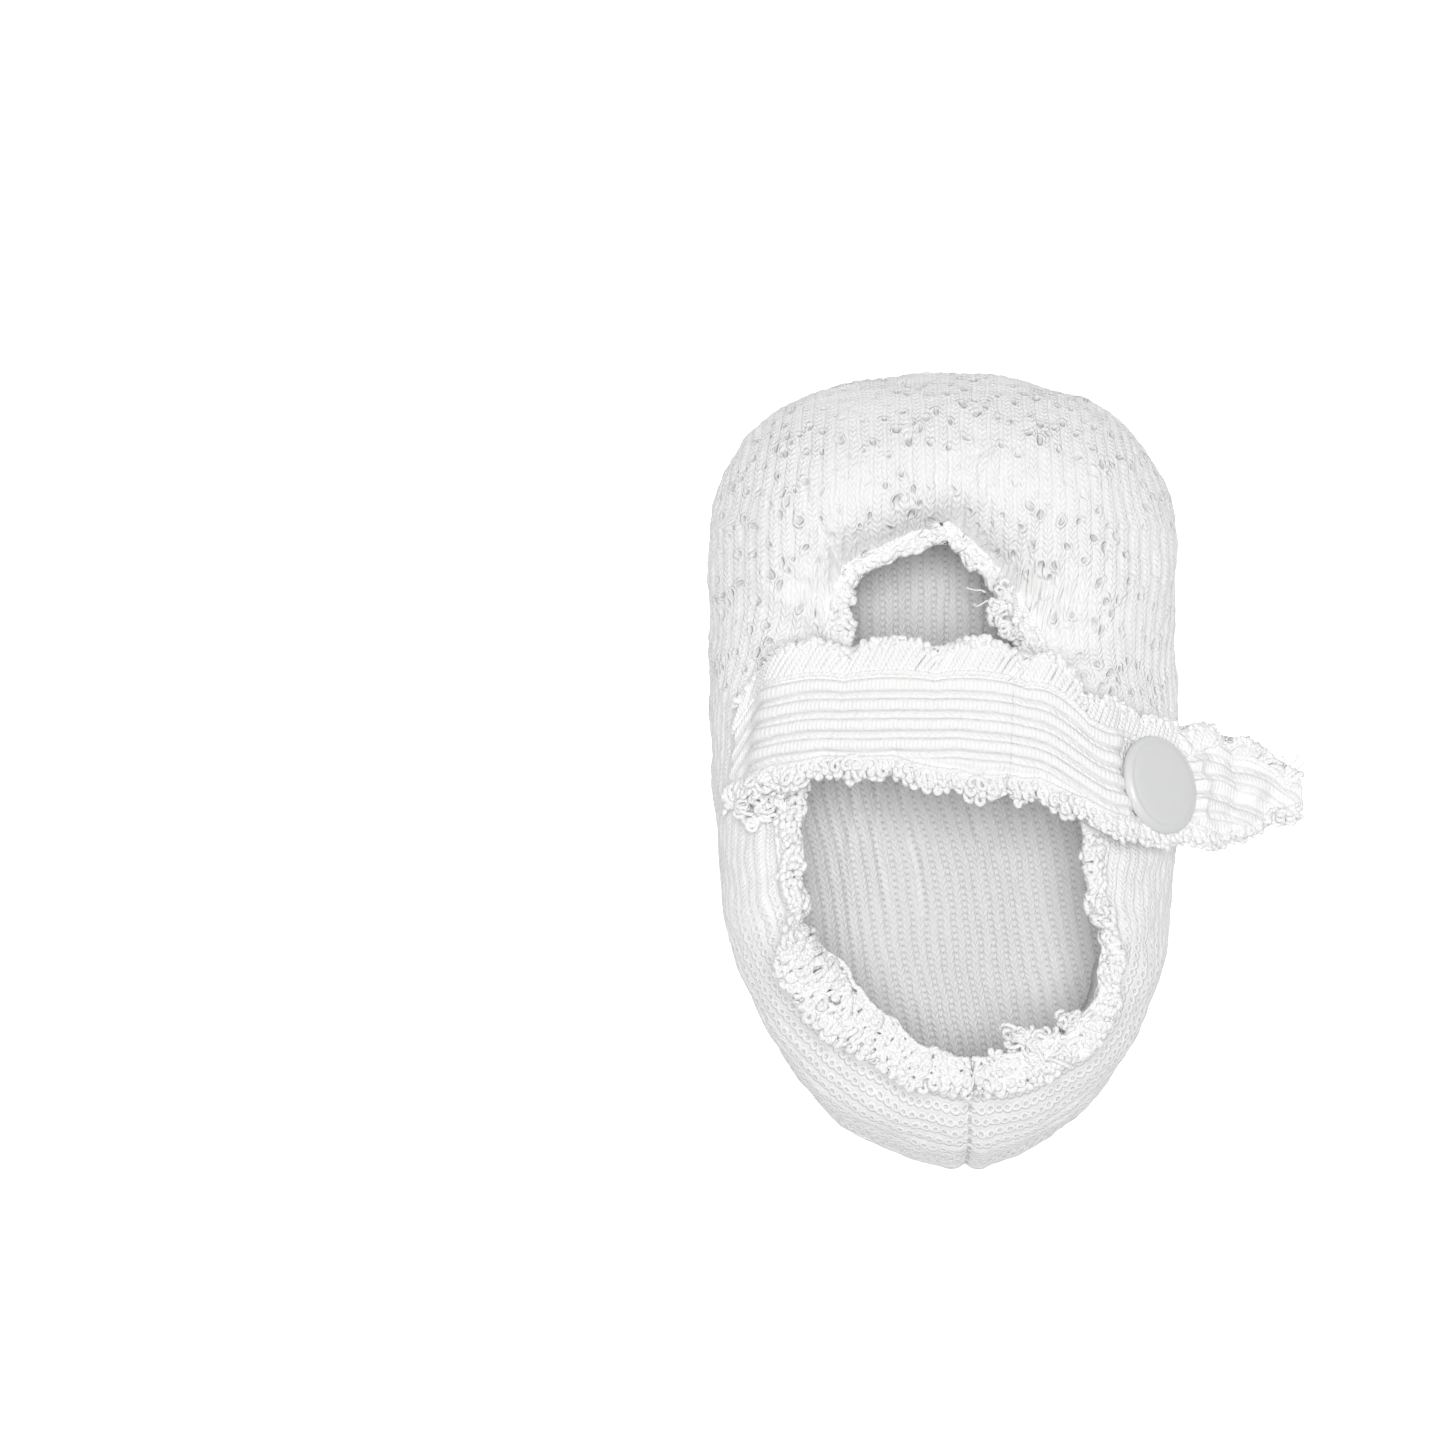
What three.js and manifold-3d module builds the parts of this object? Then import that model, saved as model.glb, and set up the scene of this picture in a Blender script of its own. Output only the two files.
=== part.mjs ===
// Baby bootie: a knitted rib shoe with a strap over the instep and a ring snap.
// Millimetres, +Z up, +Y to the toe, +X to the outer side of the foot, where the snap is.
// The origin is the middle of the sole, on the ground.
import * as THREE from 'three';
import { LoftGeometry } from 'three/addons/geometries/LoftGeometry.js';
import { mergeVertices } from 'three/addons/utils/BufferGeometryUtils.js';
import Module from 'manifold-3d';

const wasm = await Module();
wasm.setup();

// Fabric and sole
const gap = 0.3; // between pieces that touch
const foldGap = 0.8; // between two pieces where the strap folds
const knitThickness = 1.3;
const strapThickness = 1.1;
const soleThickness = 2.0;
const waddingThickness = 2.3;
const insoleThickness = 1.3;
const soleInset = 3.2; // how far the sole seam lies inside the widest line

// Shape of the upper
const bellyHeight = 12; // height of the widest line
const throatHeight = 25.5; // topline at the front of the opening
const heelHeight = 32; // topline at the back of the heel
const throatY = 25.4;
const heelY = -32.5;
const shoulderOut = { side: 2.6, toe: 0.8 }; // the wall's bulge between belly and topline
const shoulderLift = { side: 1.8, toe: 7.8 };
const wallTop = 0.945; // the knit ends here, and its overlock runs on to 1
const overlockRadius = 1.15;

// Strap, its height being that of its underside
const strapLift = 3.0; // of the strap over the upper, at the snap
const strapFrontBand = 3.4; // width of the overlock along its front edge
const strapBackBand = 2.0;
const tabHalfWidth = 6.1;
const tabStart = -7.6; // the tab's bending line, measured from the snap
const tabBand = 1.8;

// Ring snap, heights measured from the upper's outer face
const capRadius = 5.5;
const flangeRadius = 4.5;
const prongCircle = 3.4;
const prongRadius = 0.4;
const prongCount = 5;
const studRadius = 1.4;
const socketBore = 2.0;
const springWire = 0.22;
const clampedFlat = 7; // the upper is flat this far from the snap's axis
const clampedFade = 12; // and has its own curve again from here
const clampedReach = 9;

const ringSteps = 60; // round the shoe
const wallSteps = 9; // up the wall

// Stations clockwise from the toe, seen from above: the widest line, and the topline.
const stations = [
  { belly: [-1, 43.9], topline: [-1.3, throatY] },
  { belly: [11.5, 42.1], topline: [2.6, 23.6] },
  { belly: [20.5, 37.6], topline: [5.6, 20] },
  { belly: [25.1, 29.5], topline: [8, 14.5] },
  { belly: [25.5, 15], topline: [10.6, 8] },
  { belly: [25.9, 2], topline: [13.6, 0] },
  { belly: [25.4, -12], topline: [16, -9.5] },
  { belly: [22.8, -25], topline: [17.4, -20] },
  { belly: [15.5, -37.6], topline: [12.8, -29] },
  { belly: [2.6, -43.7], topline: [2.7, heelY] },
  { belly: [-11, -39], topline: [-9, -28] },
  { belly: [-19.6, -27.5], topline: [-16.6, -20.5] },
  { belly: [-24.1, -12], topline: [-17.2, -9] },
  { belly: [-25.2, 3], topline: [-15.2, 1.5] },
  { belly: [-25.4, 17], topline: [-12.4, 10] },
  { belly: [-24.3, 31], topline: [-9.4, 16.5] },
  { belly: [-18.6, 38.4], topline: [-6.8, 21] },
  { belly: [-10.8, 42.4], topline: [-4.2, 24.2] },
];
const heelU = 9 / stations.length;
const snapPlace = { u: 5.38 / stations.length, v: 0.795 };
const snapTilt = 47; // degrees, of the snap's axis from the vertical
const snapTurn = 17; // degrees, of the axis from +X towards the toe, from above
const strapHeading = new THREE.Vector3(0.99, -0.1, 0); // of the strap's free end, from above

function smoothstep(low, high, value) {
  return THREE.MathUtils.smoothstep(value, low, high);
}

function mix(a, b, t) {
  return THREE.MathUtils.lerp(a, b, t);
}

function closedCurve(points) {
  return new THREE.CatmullRomCurve3(points, true, 'centripetal');
}

function openCurve(points) {
  return new THREE.CatmullRomCurve3(points, false, 'centripetal');
}

function toplineHeight(y) {
  return mix(heelHeight, throatHeight, smoothstep(heelY, throatY, y));
}

const bellyRing = closedCurve(
  stations.map(({ belly: [x, y] }) => new THREE.Vector3(x, y, bellyHeight)),
);
const toplineRing = closedCurve(
  stations.map(({ topline: [x, y] }) => new THREE.Vector3(x, y, toplineHeight(y))),
);

// The horizontal direction out of the shoe at one place round it.
function outwardAt(u) {
  const along = bellyRing.getTangent(u);
  return new THREE.Vector3(-along.y, along.x, 0).normalize();
}

function soleEdge(u, inset, height) {
  const edge = bellyRing.getPoint(u).addScaledVector(outwardAt(u), -soleInset - inset);
  return edge.setZ(height);
}

const meridians = new Map();

// The wall's outer line from the sole seam up to the topline, at one place round the shoe.
function meridianAt(u) {
  const key = ((u % 1) + 1) % 1;
  if (!meridians.has(key)) {
    const belly = bellyRing.getPoint(key);
    const topline = toplineRing.getPoint(key);
    const toe = smoothstep(8, 40, belly.y);
    const shoulder = belly.clone().lerp(topline, 0.5);
    shoulder.addScaledVector(outwardAt(key), mix(shoulderOut.side, shoulderOut.toe, toe));
    shoulder.z += mix(shoulderLift.side, shoulderLift.toe, toe);
    const seam = soleEdge(key, 0, soleThickness + gap);
    const line = openCurve([seam, belly, shoulder, topline]);
    line.arcLengthDivisions = 60;
    meridians.set(key, line);
  }
  return meridians.get(key);
}

function wallNormal(u, v) {
  const small = 0.004;
  const low = Math.max(v - small, 0);
  const high = Math.min(v + small, 1);
  const round = meridianAt(u + small).getPointAt(v).sub(meridianAt(u - small).getPointAt(v));
  const up = meridianAt(u).getPointAt(high).sub(meridianAt(u).getPointAt(low));
  return up.cross(round).normalize();
}

// The snap's own frame: its Z leaves the upper, and its X runs out along the strap.
const snapOrigin = meridianAt(snapPlace.u).getPointAt(snapPlace.v);
const snapAxis = new THREE.Vector3().setFromSphericalCoords(
  1,
  THREE.MathUtils.degToRad(snapTilt),
  THREE.MathUtils.degToRad(90 - snapTurn),
);
snapAxis.set(snapAxis.x, snapAxis.z, snapAxis.y);
const snapOut = strapHeading.clone()
  .setZ(-strapHeading.dot(snapAxis) / snapAxis.z)
  .normalize();
const snapAcross = snapAxis.clone().cross(snapOut);
const snapFrame = new THREE.Matrix4()
  .makeBasis(snapOut, snapAcross, snapAxis)
  .setPosition(snapOrigin);
const toSnapFrame = snapFrame.clone().invert();

function inSnapFrame(x, y, z) {
  return new THREE.Vector3(x, y, z).applyMatrix4(snapFrame);
}

// A point of the wall: u round the shoe, v from sole seam to topline, depth into the shoe.
// The snap clamps the knit flat around itself.
function wallPoint(u, v, depth = 0) {
  const point = meridianAt(u).getPointAt(v).addScaledVector(wallNormal(u, v), -depth);
  const local = point.applyMatrix4(toSnapFrame);
  const offAxis = Math.hypot(local.x, local.y);
  if (Math.abs(local.z) < clampedReach) {
    local.z = mix(-depth, local.z, smoothstep(clampedFlat, clampedFade, offAxis));
  }
  return local.applyMatrix4(snapFrame);
}

function range(count, make) {
  return Array.from({ length: count }, (_, i) => make(i));
}

function steps(from, to, count) {
  return range(count + 1, (i) => mix(from, to, i / count));
}

// Six times the volume, positive where the faces point out.
function signedVolume(geometry) {
  const place = geometry.attributes.position;
  const [a, b, c] = [new THREE.Vector3(), new THREE.Vector3(), new THREE.Vector3()];
  let total = 0;
  for (let i = 0; i < geometry.index.count; i += 3) {
    a.fromBufferAttribute(place, geometry.index.getX(i));
    b.fromBufferAttribute(place, geometry.index.getX(i + 1));
    c.fromBufferAttribute(place, geometry.index.getX(i + 2));
    total += a.dot(b.cross(c));
  }
  return total;
}

// A solid through closed sections: capped at its two ends, or running back into itself.
function loft(sections, capped) {
  const rows = capped ? sections : [...sections, sections[0]];
  const options = { capStart: capped, capEnd: capped };
  const geometry = new LoftGeometry(rows, options);
  if (signedVolume(geometry) > 0) {
    return geometry;
  }
  return new LoftGeometry(rows.map((row) => [...row].reverse()), options);
}

function toSolid(geometry) {
  const bare = new THREE.BufferGeometry();
  bare.setAttribute('position', geometry.getAttribute('position'));
  bare.setIndex(geometry.getIndex());
  const merged = mergeVertices(bare, 1e-4);
  return new wasm.Manifold(new wasm.Mesh({
    numProp: 3,
    vertProperties: new Float32Array(merged.attributes.position.array),
    triVerts: new Uint32Array(merged.index.array),
  }));
}

function toGeometry(solid) {
  const mesh = solid.getMesh();
  const geometry = new THREE.BufferGeometry();
  geometry.setAttribute('position', new THREE.BufferAttribute(mesh.vertProperties, 3));
  geometry.setIndex(new THREE.BufferAttribute(mesh.triVerts, 1));
  return geometry;
}

function cutAway(geometry, cutters) {
  const cut = cutters.reduce((solid, cutter) => solid.subtract(toSolid(cutter)), toSolid(geometry));
  return toGeometry(cut);
}

const bootie = new THREE.Group();

function addPart(name, geometry, material, parent = bootie) {
  geometry.computeVertexNormals();
  const part = new THREE.Mesh(geometry, material.clone());
  part.name = name;
  parent.add(part);
  return part;
}

function finish(color, roughness, metalness) {
  return new THREE.MeshStandardMaterial({ color, roughness, metalness });
}

const ribKnit = finish(0xf4f3f0, 0.95, 0);
const insoleKnit = finish(0xe9e8e5, 0.95, 0);
const wadding = finish(0xefeeea, 0.98, 0);
const thread = finish(0xf6f5f2, 0.85, 0);
const capEnamel = finish(0xd9dadb, 0.35, 0.1);
const snapMetal = finish(0xc4c6c8, 0.3, 1);

// ---------------------------------------------------------------- sole

// A flat layer whose edge follows the sole, given as heights and insets from bottom to top.
function soleLayer(rim) {
  return loft(
    rim.map(([height, inset]) => range(ringSteps, (i) => soleEdge(i / ringSteps, inset, height))),
    true,
  );
}

function addSole() {
  const waddingBase = soleThickness + gap;
  const waddingTop = waddingBase + waddingThickness;
  const insoleBase = waddingTop + gap;
  const insideWall = knitThickness + 2 * gap;
  addPart('sole_outer', soleLayer([
    [0, 1.6],
    [soleThickness * 0.5, 0.2],
    [soleThickness, 0.2],
  ]), ribKnit);
  addPart('sole_wadding', soleLayer([
    [waddingBase, insideWall],
    [waddingTop, insideWall],
  ]), wadding);
  addPart('insole', soleLayer([
    [insoleBase, insideWall],
    [insoleBase + insoleThickness, insideWall + 0.4],
  ]), insoleKnit);
}

// ---------------------------------------------------------------- upper

function upperShell() {
  const up = steps(0, wallTop, wallSteps);
  return loft(range(ringSteps, (i) => {
    const u = i / ringSteps;
    const outside = up.map((v) => wallPoint(u, v));
    const inside = up.map((v) => wallPoint(u, v, knitThickness)).reverse();
    return [...outside, ...inside];
  }), false);
}

// A bead round the shoe, along the wall at height v and at the depth of its middle.
function ringBead(v, depth, radius, sides) {
  return loft(range(ringSteps, (i) => {
    const u = i / ringSteps;
    const middle = wallPoint(u, v, depth);
    const across = wallNormal(u, v);
    const up = wallPoint(u, 1).sub(wallPoint(u, 0.97)).normalize();
    const lift = v < 1 ? wallPoint(u, v + 0.02).sub(wallPoint(u, v)).normalize() : up;
    return range(sides, (j) => {
      const turn = (2 * Math.PI * j) / sides;
      return middle.clone()
        .addScaledVector(across, radius * Math.cos(turn))
        .addScaledVector(lift, radius * Math.sin(turn));
    });
  }), false);
}

function heelSeamAllowance() {
  const halfWidth = 0.011; // as a share of the way round
  const near = knitThickness + gap;
  const far = near + 1.3;
  return loft(steps(0.34, 0.9, 8).map((v) => [
    wallPoint(heelU - halfWidth, v, near),
    wallPoint(heelU - halfWidth * 0.6, v, far),
    wallPoint(heelU + halfWidth * 0.6, v, far),
    wallPoint(heelU + halfWidth, v, near),
  ]), true);
}

function addUpper() {
  addPart('upper', cutAway(upperShell(), prongPins(0.75, -4, 4)), ribKnit);
  addPart('topline_overlock', ringBead(1, knitThickness / 2, overlockRadius, 8), thread);
  addPart('sole_seam_allowance', ringBead(0.21, knitThickness + gap + 0.9, 0.9, 6), thread);
  addPart('heel_seam_allowance', heelSeamAllowance(), thread);
}

// ---------------------------------------------------------------- strap

// The end sewn to the inner side: p runs up to the fold, q from the back edge to the front.
const sewnEnd = {
  low: { v: 0.7, back: 12.3, front: 13.7 },
  high: { v: 0.9, back: 12.62, front: 14.25 },
};

function sewnEndPoint(p, q, height) {
  const { low, high } = sewnEnd;
  const station = mix(mix(low.back, high.back, p), mix(low.front, high.front, p), q);
  return wallPoint(station / stations.length, mix(low.v, high.v, p), -gap - height);
}

function sewnEndStrip(pRange, qRange, base, top) {
  return loft(steps(...pRange, 4).map((p) => {
    const across = steps(...qRange, 6);
    return [
      ...across.map((q) => sewnEndPoint(p, q, base)),
      ...across.map((q) => sewnEndPoint(p, q, top)).reverse(),
    ];
  }), true);
}

// The free part of the strap, from the fold to the tab: one row for each place along it.
const tabFront = inSnapFrame(tabStart - foldGap, tabHalfWidth, strapLift);
const tabBack = inSnapFrame(tabStart - foldGap, -tabHalfWidth, strapLift);
const bandFront = openCurve([
  new THREE.Vector3(-16.9, 12.3, 29.2),
  new THREE.Vector3(-13.6, 13.6, 31.4),
  new THREE.Vector3(-6, 13.7, 33.3),
  new THREE.Vector3(3, 13.6, 34),
  new THREE.Vector3(10.5, 11.6, 33),
  tabFront,
]);
const bandBack = openCurve([
  new THREE.Vector3(-19.1, -3, 29.2),
  new THREE.Vector3(-15.6, -2, 31.6),
  new THREE.Vector3(-7, -1.6, 34),
  new THREE.Vector3(2, -4, 35.3),
  new THREE.Vector3(10.5, -4.6, 34.6),
  tabBack,
]);

// A point of the strap: s along it, w from the back edge, height above its underside.
function bandPoint(s, w, height) {
  const back = bandBack.getPoint(s);
  const across = bandFront.getPoint(s).sub(back).normalize();
  const along = bandBack.getTangent(s).add(bandFront.getTangent(s));
  const normal = along.cross(across).normalize();
  return back.addScaledVector(across, w).addScaledVector(normal, height);
}

function bandWidth(s) {
  return bandFront.getPoint(s).distanceTo(bandBack.getPoint(s));
}

// A lengthwise strip of the strap, as a flat bar with its top at the given height.
function bandStrip(fromBack, toFront, base, top) {
  return loft(steps(0, 1, 18).map((s) => {
    const across = steps(fromBack, bandWidth(s) - toFront, 2);
    return [
      ...across.map((w) => bandPoint(s, w, base)),
      ...across.map((w) => bandPoint(s, w, top)).reverse(),
    ];
  }), true);
}

function frontBandStrip() {
  return loft(steps(0, 1, 18).map((s) => {
    const edge = bandWidth(s);
    const near = edge - strapFrontBand;
    return [
      bandPoint(s, near, 0),
      bandPoint(s, edge - 0.5, -0.2),
      bandPoint(s, edge, 0.6),
      bandPoint(s, edge - 0.5, strapThickness + 0.3),
      bandPoint(s, near, strapThickness),
    ];
  }), true);
}

function backBandStrip() {
  return loft(steps(0, 1, 18).map((s) => [
    bandPoint(s, strapBackBand, 0),
    bandPoint(s, strapBackBand, strapThickness),
    bandPoint(s, 0.5, strapThickness + 0.3),
    bandPoint(s, 0, 0.6),
    bandPoint(s, 0.5, -0.2),
  ]), true);
}

// The tab beyond the bending line carries the snap and flares into a loose tail.
const tabEdge = openCurve([
  [tabStart, tabHalfWidth],
  [0, 6],
  [5, 6.7],
  [9.5, 5.5],
  [13.3, 4.1],
  [16.4, 2.5],
  [17.6, 0],
  [16.4, -2.5],
  [13.3, -4.1],
  [9.5, -5.5],
  [5, -6.7],
  [0, -6],
  [tabStart, -tabHalfWidth],
].map(([x, y]) => new THREE.Vector3(x, y, 0)));
const tailRise = openCurve([
  new THREE.Vector3(5, 0, 0),
  new THREE.Vector3(9.5, 0, 1),
  new THREE.Vector3(13.3, 0, 3.2),
  new THREE.Vector3(17.6, 0, 6.6),
]);

function riseAt(x) {
  return x <= 5 ? 0 : tailRise.getPoint((x - 5) / 12.6).z;
}

function tabPoint(x, y, height) {
  return inSnapFrame(x, y, strapLift + riseAt(x) + height);
}

// The outline of the tab, stepped in by the given width: t runs round it from front to back.
function tabInset(t, width) {
  const edge = tabEdge.getPoint(t);
  const along = tabEdge.getTangent(t);
  return new THREE.Vector2(edge.x + along.y * width, edge.y - along.x * width);
}

function tabCloth() {
  const tipT = 0.4;
  const rows = steps(0, tipT, 11).map((t) => {
    const corner = tabInset(t, tabBand + gap);
    const across = steps(-corner.y, corner.y, 2);
    return [
      ...across.map((w) => tabPoint(corner.x, w, 0)),
      ...across.map((w) => tabPoint(corner.x, w, strapThickness)).reverse(),
    ];
  });
  return loft(rows, true);
}

function tabOverlock() {
  return loft(steps(0, 1, 36).map((t) => [
    [tabBand, 0],
    [0.4, -0.2],
    [0, 0.6],
    [0.4, strapThickness + 0.3],
    [tabBand, strapThickness],
  ].map(([width, height]) => {
    const edge = tabInset(t, width);
    return tabPoint(edge.x, edge.y, height);
  })), true);
}

function addStrap() {
  const seamP = 0.3;
  addPart('strap_sewn_end', sewnEndStrip([0.14, 1], [0.13, 0.8], 0, strapThickness), ribKnit);
  addPart('strap_end_overlock_front', sewnEndStrip([0, 1], [0.83, 1], 0, 1.4), thread);
  addPart('strap_end_overlock_back', sewnEndStrip([0, 1], [0, 0.1], 0, 1.4), thread);
  addPart('strap_end_seam_thread', sewnEndStrip(
    [seamP, seamP + 0.05],
    [0.16, 0.78],
    strapThickness + gap,
    strapThickness + gap + 0.4,
  ), thread);
  addPart('strap_band', bandStrip(
    strapBackBand + gap,
    strapFrontBand + gap,
    0,
    strapThickness,
  ), ribKnit);
  addPart('strap_overlock_front', frontBandStrip(), thread);
  addPart('strap_overlock_back', backBandStrip(), thread);
  addPart('strap_tab', cutAway(tabCloth(), prongPins(0.75, 0, 8)), ribKnit);
  addPart('strap_tab_overlock', tabOverlock(), thread);
}

// ---------------------------------------------------------------- snap

function prongPlaces() {
  return range(prongCount, (i) => {
    const turn = (2 * Math.PI * i) / prongCount;
    return [prongCircle * Math.cos(turn), prongCircle * Math.sin(turn)];
  });
}

// Pins round the prong circle, between two heights of the snap's frame.
function pins(radius, low, high, sides) {
  return prongPlaces().map(([x, y]) => new THREE.CylinderGeometry(radius, radius, high - low, sides)
    .rotateX(Math.PI / 2)
    .translate(x, y, (low + high) / 2));
}

function prongPins(radius, low, high) {
  return pins(radius, low, high, 8).map((pin) => pin.applyMatrix4(snapFrame));
}

// A round piece about the snap's axis, from its radii and heights in order.
function turned(profile, segments) {
  const points = profile.map(([radius, height]) => new THREE.Vector2(radius, height));
  const geometry = new THREE.LatheGeometry(points, segments).rotateX(Math.PI / 2);
  return mergeVertices(geometry.deleteAttribute('normal').deleteAttribute('uv'), 1e-4);
}

function closedProfile(profile) {
  return [...profile, profile[0]];
}

function prongRing(base, top, tips) {
  const inner = prongCircle - 0.9;
  const ring = turned(closedProfile([
    [inner, base],
    [flangeRadius, base],
    [flangeRadius, top],
    [inner, top],
  ]), 30);
  const [low, high] = tips > top ? [top - 0.1, tips] : [tips, base + 0.1];
  return toGeometry(pins(prongRadius, low, high, 6)
    .reduce((solid, pin) => solid.add(toSolid(pin)), toSolid(ring)));
}

function addSnap() {
  const snap = new THREE.Group();
  snap.applyMatrix4(snapFrame);
  bootie.add(snap);

  const backTop = -knitThickness - gap;
  addPart('snap_stud_prong_ring', prongRing(backTop - 0.5, backTop, 0.6), snapMetal, snap);

  const studFoot = gap;
  const studFlange = studFoot + 0.9;
  const studTop = 2.5;
  addPart('snap_stud', turned([
    [0, studFoot],
    [prongCircle - 0.75, studFoot],
    [prongCircle - 0.75, studFoot + 0.6],
    [prongCircle + 0.75, studFoot + 0.6],
    [prongCircle + 0.75, studFoot],
    [flangeRadius, studFoot],
    [flangeRadius, studFlange - 0.2],
    [flangeRadius - 0.3, studFlange],
    [studRadius - 0.15, studFlange],
    [studRadius, studTop - 0.6],
    [studRadius, studTop - 0.3],
    [studRadius - 0.4, studTop],
    [0, studTop],
  ], 30), snapMetal, snap);

  const socketFoot = studFlange + gap;
  const socketTop = strapLift - gap;
  addPart('snap_socket', turned(closedProfile([
    [socketBore, socketFoot],
    [flangeRadius - 0.3, socketFoot],
    [flangeRadius, socketFoot + 0.2],
    [flangeRadius, socketTop],
    [prongCircle + 0.75, socketTop],
    [prongCircle + 0.75, socketTop - 0.4],
    [prongCircle - 0.6, socketTop - 0.4],
    [prongCircle - 0.6, socketTop],
    [socketBore, socketTop],
    [socketBore, socketFoot + 0.95],
    [socketBore + 0.6, socketFoot + 0.95],
    [socketBore + 0.6, socketFoot + 0.15],
    [socketBore, socketFoot + 0.15],
  ]), 30), snapMetal, snap);

  const springHeight = socketFoot + 0.55;
  const springTurn = (i) => THREE.MathUtils.degToRad(15 + i * 15);
  const springPath = openCurve(range(23, (i) => new THREE.Vector3(
    socketBore * Math.cos(springTurn(i)),
    socketBore * Math.sin(springTurn(i)),
    springHeight,
  )));
  const wireSection = new THREE.Shape().absarc(0, 0, springWire, 0, 2 * Math.PI);
  addPart('snap_socket_spring', new THREE.ExtrudeGeometry(wireSection, {
    steps: 22,
    curveSegments: 3,
    extrudePath: springPath,
  }), snapMetal, snap);

  const ringBase = strapLift + strapThickness + gap;
  const ringTop = ringBase + 0.4;
  addPart('snap_cap_prong_ring', prongRing(ringBase, ringTop, socketTop - 0.15), snapMetal, snap);

  const capInside = ringTop + gap;
  const capWall = 0.4;
  addPart('snap_cap', turned([
    [0, capInside],
    [flangeRadius + gap, capInside - 0.1],
    [flangeRadius + gap, ringBase],
    [flangeRadius + gap + capWall, ringBase],
    [capRadius, ringBase + 0.45],
    [capRadius - 0.15, capInside + 0.1],
    [capRadius - 0.7, capInside + capWall],
    [capRadius * 0.6, capInside + capWall + 0.25],
    [0, capInside + capWall + 0.4],
  ], 40), capEnamel, snap);
}

addSole();
addUpper();
addStrap();
addSnap();

export default bootie;
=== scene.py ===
import math

import bmesh
import bpy
import numpy as np
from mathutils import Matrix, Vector


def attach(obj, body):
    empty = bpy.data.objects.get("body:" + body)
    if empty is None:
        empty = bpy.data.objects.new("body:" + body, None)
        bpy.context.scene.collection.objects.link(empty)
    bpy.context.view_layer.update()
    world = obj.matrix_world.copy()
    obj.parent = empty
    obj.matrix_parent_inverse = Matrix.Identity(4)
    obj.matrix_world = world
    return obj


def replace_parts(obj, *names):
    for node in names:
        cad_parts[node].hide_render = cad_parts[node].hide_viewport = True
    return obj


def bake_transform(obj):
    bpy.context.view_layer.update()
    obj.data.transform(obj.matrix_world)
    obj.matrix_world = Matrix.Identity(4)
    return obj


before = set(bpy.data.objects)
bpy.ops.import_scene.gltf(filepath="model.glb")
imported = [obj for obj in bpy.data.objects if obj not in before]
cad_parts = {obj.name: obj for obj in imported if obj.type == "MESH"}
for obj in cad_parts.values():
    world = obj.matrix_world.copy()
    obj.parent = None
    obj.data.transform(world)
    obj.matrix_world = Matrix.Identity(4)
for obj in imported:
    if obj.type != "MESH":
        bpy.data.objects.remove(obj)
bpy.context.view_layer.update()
mm = 0.001

# the bootie's lasts, in millimetres, as the CAD has them
shoe = {
    "bellyHeight": 12.0,
    "throatHeight": 25.5,
    "heelHeight": 32.0,
    "throatY": 25.4,
    "heelY": -32.5,
    "soleThickness": 2.0,
    "soleInset": 3.2,
    "shoulderOut": (2.6, 0.8),  # at the sides, at the toe
    "shoulderLift": (1.8, 7.8),
    "knit": 1.25,
    "seamGap": 0.3,
    # widest line and topline, clockwise from the toe
    "stations": [
        ((-1, 43.9), (-1.3, 25.4)), ((11.5, 42.1), (2.6, 23.6)), ((20.5, 37.6), (5.6, 20)),
        ((25.1, 29.5), (8, 14.5)), ((25.5, 15), (10.6, 8)), ((25.9, 2), (13.6, 0)),
        ((25.4, -12), (16, -9.5)), ((22.8, -25), (17.4, -20)), ((15.5, -37.6), (12.8, -29)),
        ((2.6, -43.7), (2.7, -32.5)), ((-11, -39), (-9, -28)), ((-19.6, -27.5), (-16.6, -20.5)),
        ((-24.1, -12), (-17.2, -9)), ((-25.2, 3), (-15.2, 1.5)), ((-25.4, 17), (-12.4, 10)),
        ((-24.3, 31), (-9.4, 16.5)), ((-18.6, 38.4), (-6.8, 21)), ((-10.8, 42.4), (-4.2, 24.2)),
    ],
    "heelStation": 9,
    "around": 236.0,  # the upper's flat length
}
# where the snap sits on the wall, how it leans, and how far the wall is flattened for it
snapFit = {
    "station": 5.38, "up": 0.795, "tilt": 47.0, "turn": 17.0, "heading": (0.99, -0.1),
    "flat": 7.0, "fade": 12.0, "reach": 9.0, "strapLift": 3.0,
}


def smooth(low, high, x):
    t = np.clip((np.asarray(x, float) - low) / (high - low), 0, 1)
    return t * t * (3 - 2 * t)


def mix(a, b, t):
    return a + (b - a) * t


# a soft bump of height 1
def bell(x, middle, width):
    return np.exp(-(((x - middle) / width) ** 2))


# how far round the shoe u is from a place, from -0.5 to 0.5
def roundFrom(u, place=0.0):
    return (np.asarray(u) - place + 0.5) % 1 - 0.5


def unit(v):
    return v / np.maximum(np.linalg.norm(v, axis=-1, keepdims=True), 1e-12)


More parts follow.
